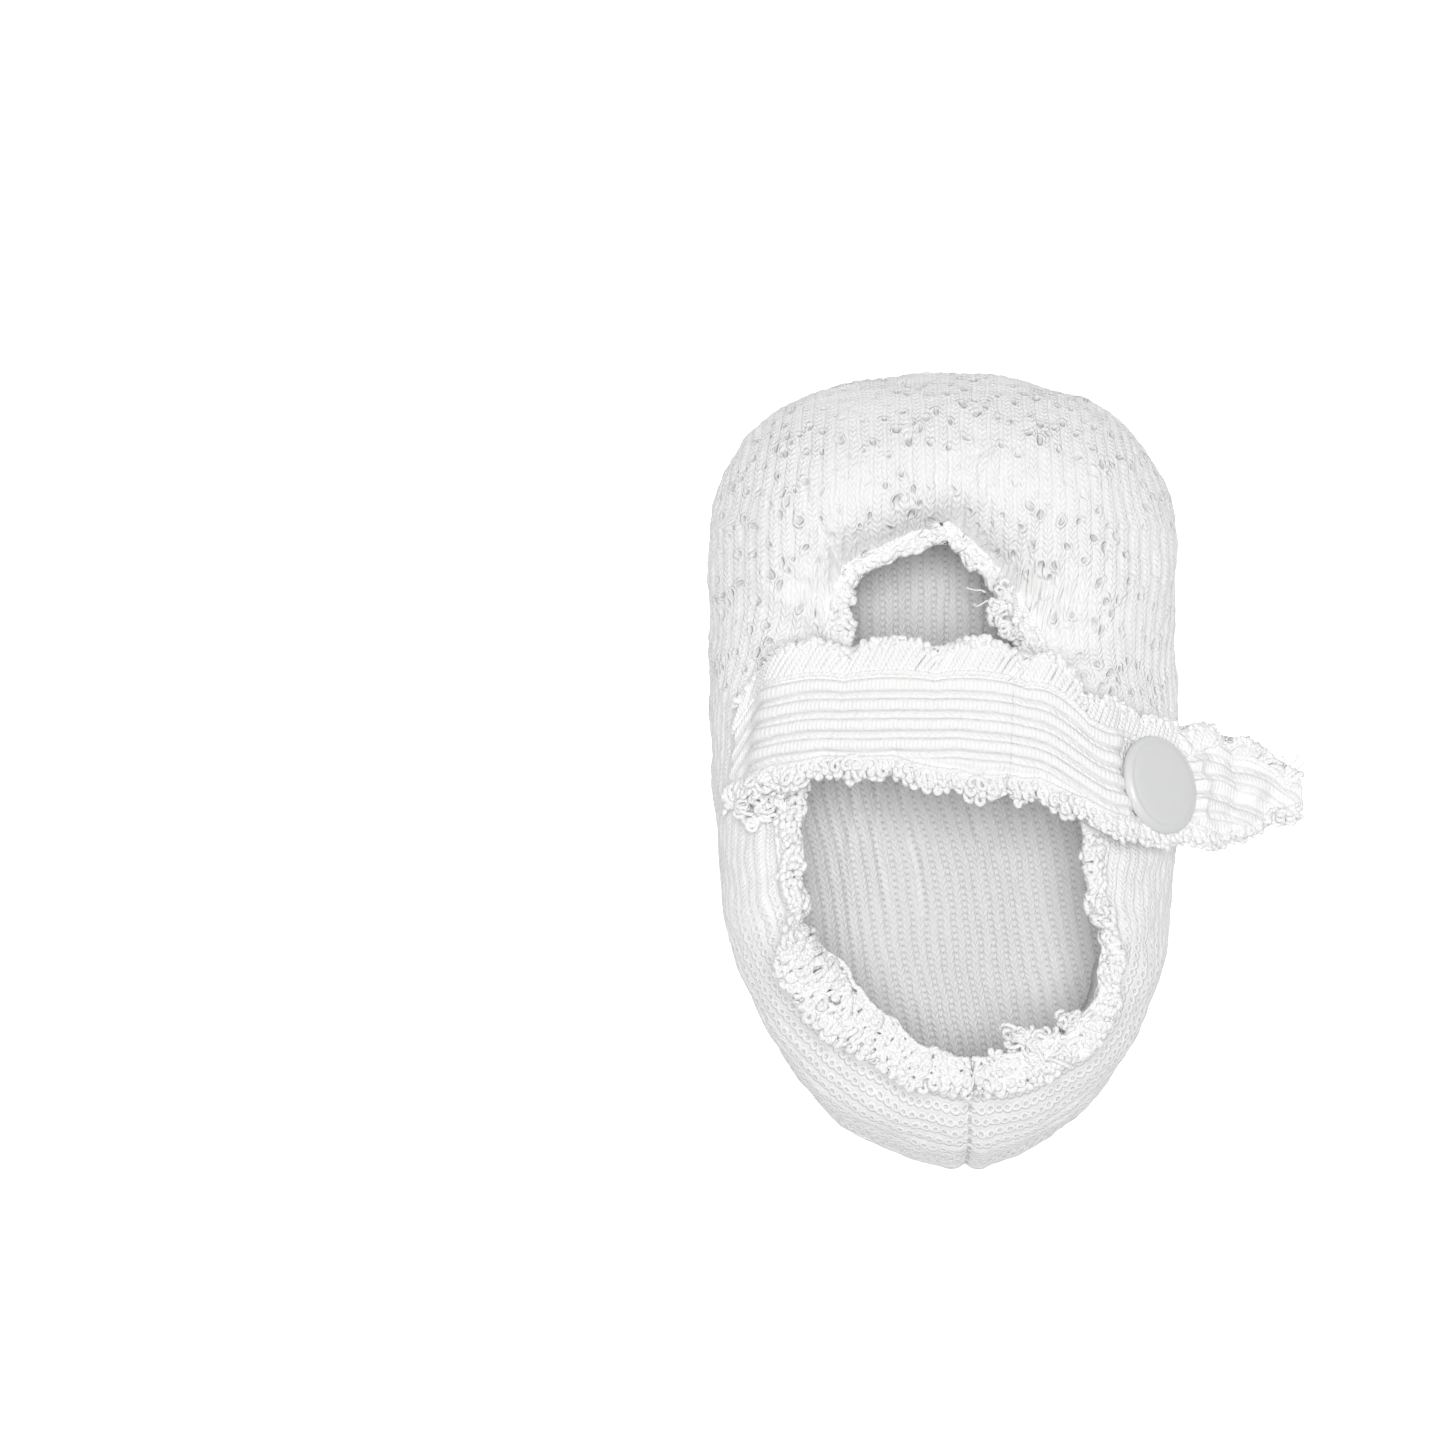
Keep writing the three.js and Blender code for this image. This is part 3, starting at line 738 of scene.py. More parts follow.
def knitMaterial(name, look):
    material, fuzz, across, along = fabricBase(name, look)
    tree = material.node_tree
    across = across + fuzz["DriftAcross"] * look["sway"]
    along = along + fuzz["DriftAlong"] * look["sway"]

    def pattern(kind, **values):
        node = addNode(tree, "ShaderNodeGroup", node_tree=kind)
        for label, value in {"Across": across, "Along": along, **values}.items():
            feed(tree, value, node.inputs[label])
        return {socket.name: Wire(tree, socket) for socket in node.outputs}

    if look["pattern"] == "ladder":
        stitches = pattern(ladderGroup, Pitch=look["wale"], Bar=look["course"])
        height = stitches["Height"]
        # painted shade in the valleys between the ladder ribs
        paintedShade = stitches["Valley"] * look["pits"]
    else:
        stitches = pattern(stitchGroup, Wale=look["wale"], Course=look["course"])
        # some stretches of the knit lie flatter than others
        crisp = mapped(fuzz["Broad"], 0.3, 0.7) * (1 - look["flat"]) + look["flat"]
        height = stitches["Height"] * crisp
        # painted shade in the pits between the stitch bars
        paintedShade = stitches["Pit"] * look["pits"]
    if look["chains"]:
        chains = pattern(chainGroup)
        behind = mapped(along, *look["chains"])
        node = addNode(tree, "ShaderNodeMix", data_type="FLOAT")
        for label, value in (("Factor", behind), ("A", height), ("B", chains["Height"])):
            feed(tree, value, node.inputs[label])
        height = Wire(tree, node.outputs["Result"])
        # painted shade in the centres of the chain loops
        paintedShade = largest(paintedShade, chains["Hole"] * behind * 0.55)
    # painted shade: the knit's colour darkens from its raised stitches down into the hollows between them
    colour = blendColour(tree, height, look["shade"], look["colour"])
    colour = blendColour(tree, fuzz["Broad"] * 0.35, colour, look["warm"])
    height = height + fuzz["Fine"] * look["fuzz"]
    if look["open"]:
        openwork = pattern(openworkGroup, Across=across + fuzz["DriftAcross"] * look["stray"],
                           Along=along + fuzz["DriftAlong"] * look["stray"])
        front = mapped(along, *look["openFrom"])
        thin = mapped(fuzz["Broad"], 0.32, 0.56)
        hole = openwork["Hole"] * front * thin
        # painted shade seen through the eyelets
        paintedShade = largest(paintedShade, hole * look["open"])
        height = height - hole * 1.2 + openwork["Rim"] * front * (thin * 0.55 + 0.25)
    # the pits, valleys, loop centres and eyelets take the recess colour: painted shade
    colour = blendColour(tree, paintedShade, colour, look["recessShadeColour"])
    return finishMaterial(material, colour, height, 1.0, look["depth"])


# plied thread: its twist runs along the thread's own map
def threadMaterial(name, look):
    material, fuzz, around, along = fabricBase(name, look)
    tree = material.node_tree
    ply = abs(sine((around * 2.0 + along / look["twist"]) * math.pi))
    # painted shade: the thread darkens in the grooves between its plies
    colour = blendColour(tree, ply, look["shade"], look["colour"])
    colour = blendColour(tree, fuzz["Broad"] * 0.3, colour, look["warm"])
    return finishMaterial(material, colour, ply + fuzz["Fine"] * look["fuzz"], 0.8, look["depth"])


def metalMaterial(name, look):
    material, tree = newMaterial(name, {
        "Metallic": look["metallic"], "Coat Weight": look["coat"], "Coat Roughness": 0.12,
    })
    place = addNode(tree, "ShaderNodeTexCoord")
    noise = addNode(tree, "ShaderNodeTexNoise")
    noise.inputs["Scale"].default_value = look["grain"]
    noise.inputs["Detail"].default_value = 4.0
    tree.links.new(place.outputs["Object"], noise.inputs["Vector"])
    grain = Wire(tree, noise.outputs["Fac"])
    rough = addNode(tree, "ShaderNodeMapRange")
    feed(tree, grain, rough.inputs["Value"])
    rough.inputs["To Min"].default_value = look["roughness"] - 0.06
    rough.inputs["To Max"].default_value = look["roughness"] + 0.08
    shader = tree.nodes["Principled BSDF"]
    tree.links.new(rough.outputs["Result"], shader.inputs["Roughness"])
    colour = blendColour(tree, grain, look["shade"], look["colour"])
    return finishMaterial(material, colour, grain, 0.25, 0.03)


whiteKnit = {
    # shade is the painted shade of the hollows between the stitches
    "colour": (0.98, 0.98, 0.975), "shade": (0.93, 0.93, 0.93), "warm": (0.97, 0.97, 0.96),
    # the recess colour is the painted shade of pits, loop centres and eyelets
    "recessShadeColour": (0.66, 0.66, 0.665), "roughness": 0.92, "sheen": 0.2, "fuzz": 0.8,
    "wale": knit["wale"], "course": knit["course"], "sway": 0.7, "flat": 0.65, "depth": 0.15,
    "pattern": "stitch", "pits": 0.15, "open": 0.75, "stray": 1.3,
    "openFrom": (-6, 10),  # the openwork fades in between these, along the shoe
    "chains": (-12, -26),  # and the chains between these
}
plainKnit = {**whiteKnit, "open": 0, "chains": None}
upperKnit = knitMaterial("upperKnit", whiteKnit)
strapKnit = knitMaterial("strapKnit", {
    **plainKnit, "pattern": "ladder", "wale": 2.13, "course": 0.45, "sway": 0.15, "depth": 0.16,
    # how strongly the valleys between the strap's ribs are painted with shade
    "pits": 0.5,
})
insoleKnit = knitMaterial("insoleKnit", {
    **plainKnit, "colour": (0.945, 0.945, 0.945), "shade": (0.86, 0.86, 0.86), "warm": (0.93, 0.93, 0.93),
    # a darker painted shade in the insole's pits
    "recessShadeColour": (0.5, 0.5, 0.5),
    "wale": 1.42, "course": 0.72, "sway": 0.5, "depth": 0.15, "pits": 1.0, "flat": 0.75,
})
soleKnit = knitMaterial("soleKnit", {**plainKnit, "sway": 0.2, "wale": 1.2})
overlockThread = threadMaterial("overlockThread", {
    "colour": (0.97, 0.97, 0.965), "shade": (0.94, 0.94, 0.94), "warm": (0.955, 0.955, 0.95),
    "roughness": 0.85, "sheen": 0.2, "fuzz": 0.9, "twist": 0.5, "depth": 0.07,
})
capEnamel = metalMaterial("capEnamel", {
    "colour": (0.75, 0.753, 0.756), "shade": (0.72, 0.723, 0.726), "grain": 900,
    "roughness": 0.42, "metallic": 0.0, "coat": 0.25,
})
snapSteel = metalMaterial("snapSteel", {
    "colour": (0.75, 0.76, 0.77), "shade": (0.6, 0.61, 0.62), "grain": 1500,
    "roughness": 0.3, "metallic": 1.0, "coat": 0.0,
})
waddingFleece = knitMaterial("waddingFleece", {**plainKnit, "depth": 0.1, "fuzz": 1.5})


def dress(piece, material, body):
    piece.data.materials.clear()
    piece.data.materials.append(material)
    if body:
        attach(piece, body)
    return piece


def dressedThreads(name, lines, radius, body=None):
    return dress(threadPiece(name, lines, radius), overlockThread, body)


# upper
upperSize = {"columns": 744, "outerRows": 104, "innerRows": 13}


def makeUpper():
    outer, inner = upperSize["outerRows"], upperSize["innerRows"]
    rows = outer + inner + 2

    def place(a, b):
        u = heelU + a
        row = np.rint(b * rows).astype(int)
        outside = (row <= outer) | (row == rows)
        v = np.where(row <= outer, row / outer, 1 - (row - outer - 1) / inner)
        v = np.where(row == rows, 0, v) * 0.985
        plain = wallAt(u, v)
        across, along = knitPlace(u, v, plain)
        # a is 0 and 1 at the heel seam, and each end belongs to its own side
        across = np.where(a > 0.999, np.abs(across), across)
        across = np.where(a < 0.001, -np.abs(across), across)
        hole, puff = openworkDepth(across, along)
        ends = smooth(0, 0.03, v) * (1 - smooth(0.9, 0.96, v))
        relief = knit["ribHeight"] * ribProfile(across, knit["wale"], 0.8)
        relief = relief + ends * smooth(-6, 10, along) * (0.2 * puff - 0.22 * hole)
        relief = relief * mix(0.55, 1, smooth(-0.6, 0.8, waves(77, 15, across, along)))
        # the heel seam: a groove with a soft fold on each side of it
        fromSeam = np.abs(roundFrom(a)) * shoe["around"]
        relief = relief - 0.5 * bell(fromSeam, 0, 0.5) * (v < 0.96)
        relief = relief + mix(0.15, 0.4, a > 0.5) * bell(fromSeam, 1.5, 0.9) * (v < 0.96)
        lift = np.where(outside, relief * mix(0.4, 1, ends), -shoe["knit"])
        return wallAt(u, v, lift), across, along

    piece = gridPiece("upperKnit", upperSize["columns"], rows, place, join=True, outwards=True)
    return dress(piece, upperKnit, "shoe")


upper = makeUpper()
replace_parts(upper, "upper")
print("upper", len(upper.data.polygons))


# overlock: threads wrap the edge, looser ones cross them, and a looping chain lies along it
def overlockLines(frameAt, length, look, seed):
    lines = []
    for number, (pitch, lean, loose) in enumerate(look["wraps"]):
        turns = int(length / pitch)
        k = np.arange(turns * look["perTurn"] + 1)
        turn = k / look["perTurn"]
        angle = 2 * math.pi * (k % look["perTurn"]) / look["perTurn"]
        dice = seed + 10 * number
        width = look["width"] * (1 + jitter(dice, turns, turn, look["uneven"]))
        thick = (look["thick"] + loose) * (1 + jitter(dice + 1, turns, turn, look["uneven"]))
        c, s = np.cos(angle), np.sin(angle)
        across = (0.5 - 0.5 * np.sign(c) * np.abs(c) ** 0.75) * width + look["from"]
        high = np.sign(s) * np.abs(s) ** 0.75 * thick / 2
        slope = lean * (across - look["from"]) * np.where(high > 0, 1, -0.3)
        along = turn * pitch + slope + jitter(dice + 2, turns, turn, look["stray"])
        wobble = jitter(dice + 3, turns * 3, turn * 3, look["stray"] * 0.7)
        lines.append(frameAt(along, across, high + wobble))
    # the chain's loops
    for number, (pitch, size, out, rise) in enumerate(look["loops"]):
        count = int(length / pitch)
        turn = np.arange(count * 14) / 14
        dice = seed + 50 + 10 * number
        bunch = waves(seed + number, 8, turn * pitch)
        grow = 1 + jitter(dice, count, turn, 0.4) + look["bunch"] * bunch
        angle = 2 * math.pi * turn + number * 2.1
        along = turn * pitch - size * grow * np.sin(angle) + jitter(dice + 1, count, turn, 0.25)
        across = look["from"] + look["width"] + out + size * grow * np.cos(angle)
        across = across + jitter(dice + 2, count, turn, 0.25)
        high = rise + 0.25 * np.sin(angle + 0.8) + jitter(dice + 3, count * 2, turn * 2, 0.22)
        high = high + look["bunch"] * bunch * np.sign(rise)
        lines.append(frameAt(along, across, high))
    steps = np.arange(0, length, 0.2)
    stitch = np.abs(np.sin(steps / 1.3 * math.pi))
    lines.append(frameAt(steps, look["from"] + 0.2 + 0 * steps, look["thick"] / 2 + 0.14 * stitch - 0.1))
    return lines


topline = {
    "width": 3.0, "thick": 1.35, "uneven": 0.18, "stray": 0.25, "from": 0.0, "perTurn": 12,
    "wraps": [(0.95, 0.35, 0.0)],
    "loops": [(1.0, 0.36, -2.4, 0.6), (1.05, 0.42, -1.75, 0.8), (0.95, 0.38, -1.1, 0.85),
              (1.05, 0.42, -0.45, 0.6), (1.0, 0.4, 0.0, 0.1), (1.2, 0.4, -0.3, -0.5)],
    "thread": 0.35, "bunch": 0.35,
}


def makeTopline():
    start = collar["start"]
    ring = np.arange(721) / 720
    line = wallAt(heelU + ring, np.full(721, 0.96))
    run = runAlong(line)

    def frameAt(at, across, high):
        u = heelU + np.interp(at % run[-1], run, ring)
        heel, throat = heelShare(u), throatShare(u)
        reach = collarReach(u)
        bare = mix(collar["bare"], collar["heelBare"], heel)
        share = (bare + across / topline["width"] * (reach - bare)) / reach
        v = start + share * (1 - start)
        high = high * mix(mix(1, 0.7, throat), 0.85, heel) * np.cos(smooth(0.35, 0.65, heel) * math.pi)
        inRange = wallAt(u, np.minimum(v, 1.0), high - shoe["knit"] / 2)
        ahead = wallAt(u, np.full(np.shape(u), 1.0)) - wallAt(u, np.full(np.shape(u), 0.985))
        beyond = np.maximum(v - 1.0, 0) / 0.015
        return inRange + ahead * beyond[:, None]

    lines = overlockLines(frameAt, run[-1], topline, 31)
    return dressedThreads("toplineOverlock", lines, topline["thread"], "shoe")


toplineOverlock = makeTopline()
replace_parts(toplineOverlock, "topline_overlock")
print("topline overlock", len(toplineOverlock.data.polygons))


# clumps where the overlock ends: one thread in small loops that wander through a soft bulk
def tangle(middle, size, length, seed):
    dice = np.random.default_rng(seed)
    t = np.linspace(0, length, int(length / 0.2))

    def wander(slow):
        path = np.zeros((len(t), 3))
        for k in range(3):
            for part in (1.0, 1.7, 2.9):
                path[:, k] += np.sin(t * part * slow * dice.uniform(0.8, 1.2) + dice.uniform(0, 6.3)) / part
        return path

    centre = wander(0.21) * np.asarray(size) * 0.62
    first = unit(wander(0.12))
    second = unit(np.cross(first, unit(wander(0.15))))
    angle = t / 0.5 + 0.5 * np.sin(t * 0.7)
    ring = 0.47 + 0.17 * np.sin(t * 0.37 + seed)
    loops = first * (ring * np.cos(angle))[:, None] + second * (ring * np.sin(angle))[:, None]
    return np.asarray(middle) + centre + loops


# middle, half widths and thread length of each tangle
clumps = {
    "thread": 0.27,
    "toplineClumps": [
        ((10.2, -30.6, 32.6), (3.3, 1.8, 1.0), 190), ((14.0, -28.2, 32.4), (1.8, 1.3, 0.9), 80),
        ((5.8, -32.6, 32.3), (1.7, 1.2, 0.8), 50), ((6.2, 17.2, 27.6), (1.3, 2.0, 0.8), 60),
        ((6.9, 14.5, 27.0), (1.2, 1.2, 0.8), 45),
    ],
    "strapClumps": [
        ((-20.6, -5.6, 27.2), (1.8, 1.4, 1.0), 66), ((-17.4, -3.2, 29.6), (1.5, 1.0, 0.8), 40),
        ((-19.2, -4.2, 28.2), (1.3, 1.1, 0.8), 50),
    ],
}


for name in ("toplineClumps", "strapClumps"):
    lines = [tangle(middle, size, length, 200 + 7 * number)
             for number, (middle, size, length) in enumerate(clumps[name])]
    dressedThreads(name, lines, clumps["thread"], "shoe")


# a loose end of thread, from a place, heading somewhere, bending as it goes
def looseEnd(start, heading, seed):
    dice = np.random.default_rng(seed)
    t = np.linspace(0, 1, 14)[:, None]
    bend = dice.uniform(-0.5, 0.5, 3) * np.sin(t * math.pi) + dice.uniform(-0.2, 0.2, 3) * np.sin(t * 7)
    return np.asarray(start) + np.asarray(heading) * t + bend


def makeLooseEnds(name, ends, body):
    lines = [looseEnd(start, heading, 300 + k) for k, (start, heading) in enumerate(ends)]
    return dressedThreads(name, lines, 0.12, body)


makeLooseEnds("throatLooseEnds", [
    ((4.6, 18.4, 28.2), (-2.2, 0.5, 0.3)), ((4.8, 17.6, 28.2), (-1.6, -0.4, 0.2)),
    ((6.8, 19.0, 28.6), (1.2, 1.6, 0.5)), ((6.0, 19.4, 28.5), (0.3, 1.5, 0.6)),
], "shoe")

# seam allowances inside: a wrapped ridge along each seam
seamLook = {
    "width": 2.2, "thick": 1.2, "uneven": 0.15, "stray": 0.12, "from": 0.0, "perTurn": 10,
    "wraps": [(0.85, 0.3, 0.0)], "loops": [(1.3, 0.35, 0.0, 0.2)], "thread": 0.26, "bunch": 0.1,
}


def makeSoleAllowance():
    ring = np.arange(721) / 720
    line = wallAt(ring, np.full(721, 0.21))
    run = runAlong(line)

    def frameAt(at, across, high):
        u = np.interp(at % run[-1], run, ring)
        return wallAt(u, 0.21 + high * 0.028, -shoe["knit"] - 0.1 - across)

    lines = overlockLines(frameAt, run[-1], seamLook, 141)
    return dressedThreads("soleSeamAllowance", lines, seamLook["thread"], "shoe")


def makeHeelAllowance():
    ups = np.linspace(0.34, 0.9, 200)
    line = wallAt(np.full(200, heelU), ups)
    run = runAlong(line)

    def frameAt(at, across, high):
        v = np.interp(at, run, ups)
        turn = (across - 0.6) / shoe["around"]
        return wallAt(heelU + turn, v, -shoe["knit"] - 0.55 - 0.6 * high)

    lines = overlockLines(frameAt, run[-1], seamLook, 151)
    return dressedThreads("heelSeamAllowance", lines, seamLook["thread"], "shoe")


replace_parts(makeSoleAllowance(), "sole_seam_allowance")
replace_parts(makeHeelAllowance(), "heel_seam_allowance")

# soles
stationBelly = np.array([s[0] for s in shoe["stations"]], float)
plainBelly = curveThrough(stationBelly, np.arange(tableU) / tableU, closed=True)


# left and right edges of a sole layer at each y
def soleSides(inset):
    edge = plainBelly - outward[:, :2] * (shoe["soleInset"] + inset)
    toe, heel = int(np.argmax(edge[:, 1])), int(np.argmin(edge[:, 1]))
    right = edge[toe:heel + 1] if toe < heel else np.concatenate([edge[toe:], edge[:heel + 1]])
    left = np.concatenate([edge[heel:], edge[:toe + 1]]) if toe < heel else edge[heel:toe + 1]
    return right[::-1], left, edge[heel, 1], edge[toe, 1]


# places over a sole layer, and how far they are from its edge
def layerPlace(inset):
    right, left, lowY, highY = soleSides(inset)

    def place(a, b):
        y = mix(lowY, highY, 0.5 - 0.5 * np.cos(b * math.pi))
        xr = np.interp(y, right[:, 1], right[:, 0])
        xl = np.interp(y, left[:, 1], left[:, 0])
        fromSides = np.minimum(a, 1 - a) * (xr - xl)
        return mix(xl, xr, a), y, np.minimum(fromSides, np.minimum(y - lowY, highY - y))

    return place


# pulls the rim of a layer up or down to a height and closes it there
def closeLayer(height, shrink=(1, 1)):
    def change(bm):
        edges = [e for e in bm.edges if e.is_boundary]
        rim = bmesh.ops.extrude_edge_only(bm, edges=edges)["geom"]
        for v in (part for part in rim if isinstance(part, bmesh.types.BMVert)):
            v.co = (v.co.x * shrink[0], v.co.y * shrink[1], height * mm)
        last = [e for e in rim if isinstance(e, bmesh.types.BMEdge) and e.is_boundary]
        bmesh.ops.holes_fill(bm, edges=last, sides=0)

    return change


insole = {
    "columns": 170, "rows": 300, "inset": 1.75, "rib": 0.3, "pitch": 1.42, "top": 6.35, "thick": 1.2,
    # place across, depth and lean of each crease
    "creases": [(-9.6, 0.4, 0.03), (-6.9, 0.62, -0.05), (-3.8, 0.55, -0.09), (3.2, 0.3, -0.12)],
    "raised": 3.2,  # the inner side, towards the toe
}


def makeInsole():
    flat = layerPlace(insole["inset"])

    def place(a, b):
        x, y, fromEdge = flat(a, b)
        across = x + 0.15 * (y - 6) * smooth(8, -10, y) + 0.3 * waves(40, 18, x, y)
        crease = 0.0
        for cx, depth, lean in insole["creases"]:
            where = bell(x - cx - lean * y, 0.5 * waves(43, 14, y, y * 0 + cx), 0.5)
            crease = crease + depth * where * smooth(-20, -12, y) * (1 - smooth(4, 16, y))
        height = insole["top"] + 0.45 * waves(41, 17, x, y) + 1.3 * smooth(9, 0, fromEdge) \
            + insole["raised"] * smooth(-7, -16, x) * smooth(8, 0, y) \
            + insole["rib"] * ribProfile(across, insole["pitch"], 0.5) - crease
        return np.column_stack([x, y, height]), across, y

    piece = gridPiece("insoleKnit", insole["columns"], insole["rows"], place)
    remake(piece.data, closeLayer(insole["top"] - insole["thick"]))
    return dress(piece, insoleKnit, "shoe")


insolePiece = makeInsole()
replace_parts(insolePiece, "insole")
print("insole", len(insolePiece.data.polygons))

soleUnder = {"columns": 130, "rows": 250, "rib": 0.16, "pitch": 1.2}


def makeSoleUnder():
    flat = layerPlace(-0.25)

    def place(a, b):
        x, y, fromEdge = flat(a, b)
        turnUp = 1 - smooth(0, 2.4, fromEdge)
        height = 0.22 - soleUnder["rib"] * ribProfile(x, soleUnder["pitch"], 0.8) * smooth(0, 2, fromEdge) \
            + 0.1 + 0.08 * waves(50, 14, x, y) + turnUp ** 2 * (shoe["soleThickness"] + 0.1)
        return np.column_stack([x, y, np.maximum(height, 0.0)]), x, y

    piece = gridPiece("soleUnder", soleUnder["columns"], soleUnder["rows"], place)
    remake(piece.data, closeLayer(2.25, shrink=(0.95, 0.97)))
    return dress(piece, soleKnit, "shoe")


soleUnderPiece = makeSoleUnder()
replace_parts(soleUnderPiece, "sole_outer")
print("sole", len(soleUnderPiece.data.polygons))

# wadding between the soles
wadding = {"columns": 60, "rows": 200, "inset": 1.9, "middle": 3.45, "up": 1.2, "down": 1.05}


def makeWadding():
    flat = layerPlace(wadding["inset"])

    def place(a, b):
        below = b > 0.5
        x, y, fromEdge = flat(a, np.where(below, 2 - 2 * b, 2 * b))
        bulge = smooth(0, 2.2, fromEdge)
        high = wadding["middle"] + wadding["up"] * bulge + 0.2 * waves(170, 3, x, y)
        low = wadding["middle"] - wadding["down"] * bulge
        return np.column_stack([x, y, np.where(below, low, high)]), x, y

    piece = gridPiece("soleWadding", wadding["columns"], wadding["rows"], place, join=True, outwards=True)
    return dress(piece, waddingFleece, "shoe")


waddingPiece = makeWadding()
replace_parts(waddingPiece, "sole_wadding")

# strap
strap = {
    "frontBand": 3.5,
    "backBand": 2.2,
    "smoothBand": 1.6,  # beside the front overlock, before the first groove
    "thick": 1.05,
    "rib": 0.52,
    "pitch": 2.13,
    "rows": 96,
    "underRows": 12,
    "edge": 0.45,  # from the knit's edge to the overlock's
}


def onWall(station, up, lift):
    return wallAt(np.array([station / len(shoe["stations"])]), np.array([up]), lift)[0]


# along the tab in the snap's frame: place, width to the front, width to the back, rise
tabShape = [(-7.6, 8.7, 5.6, 0.25), (-3.5, 8.3, 5.9, 0.1), (0, 7.7, 6.0, 0), (5, 7.1, 5.6, 0.1),
            (9.5, 6.7, 5.8, 1.0), (13.3, 5.1, 4.2, 3.0), (16.2, 3.1, 3.4, 5.4), (17.9, 0.6, 2.6, 6.9)]
frontPoints = [onWall(13.35, 0.7, 1.0), onWall(13.75, 0.8, 1.1), (-17.0, 11.4, 29.9), (-13.6, 12.2, 31.4),
               (-6, 12.3, 33.3), (3, 12.2, 34), (10.5, 10.9, 33.2)]
backPoints = [onWall(12.45, 0.72, 0.7), onWall(12.5, 0.81, 0.8), (-19.1, -3, 29.6), (-15.6, -2, 31.6),
              (-7, -1.6, 34), (2, -3.4, 35.2), (10.5, -4.3, 34.4)]
for x, front, back, lift in tabShape:
    frontPoints.append(fromSnap(x, front, snapFit["strapLift"] + lift))
    backPoints.append(fromSnap(x, -back, snapFit["strapLift"] + lift))
fine = np.linspace(0, 1, 1200)
edges = np.stack([curveThrough(backPoints, fine), curveThrough(frontPoints, fine)], 1)
middleRun = runAlong(edges.mean(1))
strapLength = middleRun[-1]
strapGrid = 601
at = np.linspace(0, strapLength, strapGrid)
strapEdges = np.stack([np.stack([np.interp(at, middleRun, edges[:, e, k]) for k in range(3)], -1)
                       for e in (0, 1)], 1)


# a point of the strap: s millimetres along it, w millimetres from its back edge
def strapFrame(s):
    i = np.clip(np.asarray(s, float) / strapLength, 0, 1) * (strapGrid - 1)
    low = np.minimum(i.astype(int), strapGrid - 2)
    f = (i - low)[..., None]
    back = mix(strapEdges[low, 0], strapEdges[low + 1, 0], f)
    front = mix(strapEdges[low, 1], strapEdges[low + 1, 1], f)
    lowA, highA = np.maximum(low - 3, 0), np.minimum(low + 4, strapGrid - 1)
    alongBack = strapEdges[highA, 0] - strapEdges[lowA, 0]
    alongFront = strapEdges[highA, 1] - strapEdges[lowA, 1]
    return back, front, alongBack, alongFront


# lobes along an edge: rounded outwards, with sharp notches, from about -0.6 to 0.4
def lobes(s, notches):
    marks = np.asarray(notches, float)
    turn = np.interp(s, marks, np.arange(len(marks)))
    turn = np.where(s > marks[-1], len(marks) - 1 + (s - marks[-1]) / 6.0, turn)
    turn = np.where(s < marks[0], (s - marks[0]) / 8.0, turn)
    return np.abs(np.sin(turn * math.pi)) ** 0.7 - 0.6


def strapAt(s, w, lift):
    s = np.asarray(s, float)
    back, front, alongBack, alongFront = strapFrame(s)
    width = np.linalg.norm(front - back, axis=-1)
    across = (front - back) / width[..., None]
    share = (w / width)[..., None]
    normal = unit(np.cross(mix(alongBack, alongFront, np.clip(share, 0, 1)), across))
    fromFront, fromBack = np.maximum(width - w, 0), np.maximum(w, 0)
    frontLobe, backLobe = lobes(s, frontNotches), lobes(s, backNotches)
    free = smooth(5, 9, s) * (1 - 0.75 * hugCap(s))
    w = w + 1.9 * frontLobe * np.exp(-fromFront / 2.6) * mix(0.4, 1, free)
    w = w - 1.0 * backLobe * np.exp(-fromBack / 1.8) * mix(0.5, 1, free)
    wave = (0.75 * frontLobe + 0.2 + 0.2 * waves(91, 6, s)) * np.exp(-fromFront / 2.6)
    wave = wave + (0.9 * backLobe + 0.1 + 0.25 * waves(92, 5, s)) * np.exp(-fromBack / 2.0)
    tail = smooth(capRun + 6, capRun + 10, s)
    wave = wave + tail * 0.5 * waves(93, 5, s, w)
    sag = 0.5 * np.sin(np.clip(share[..., 0], 0, 1) * math.pi)
    point = back + across * np.asarray(w)[..., None]
    return point + normal * (np.asarray(lift) + (wave + sag * (1 - hugCap(s))) * free)[..., None]


def hugCap(s):
    return np.exp(-((np.asarray(s) - capRun) / 6.5) ** 4)


capMiddle = fromSnap(0, 0, snapFit["strapLift"])
capRun = at[np.argmin(np.linalg.norm(strapEdges.mean(1) - capMiddle, axis=1))]


def runWhereX(edge, xs):
    return np.interp(xs, strapEdges[:, edge, 0], at)


frontNotches = runWhereX(1, [-18.5, -10, -0.7, 8.6, 14.5, 20.5, 25.8, 30.8, 37])
backNotches = runWhereX(0, [-18, -13, -5.5, 1.2, 6.4, 9.8, 15, 20, 26, 31, 36])


def strapWidth(s):
    back, front, _, _ = strapFrame(s)
    return np.linalg.norm(front - back, axis=-1)


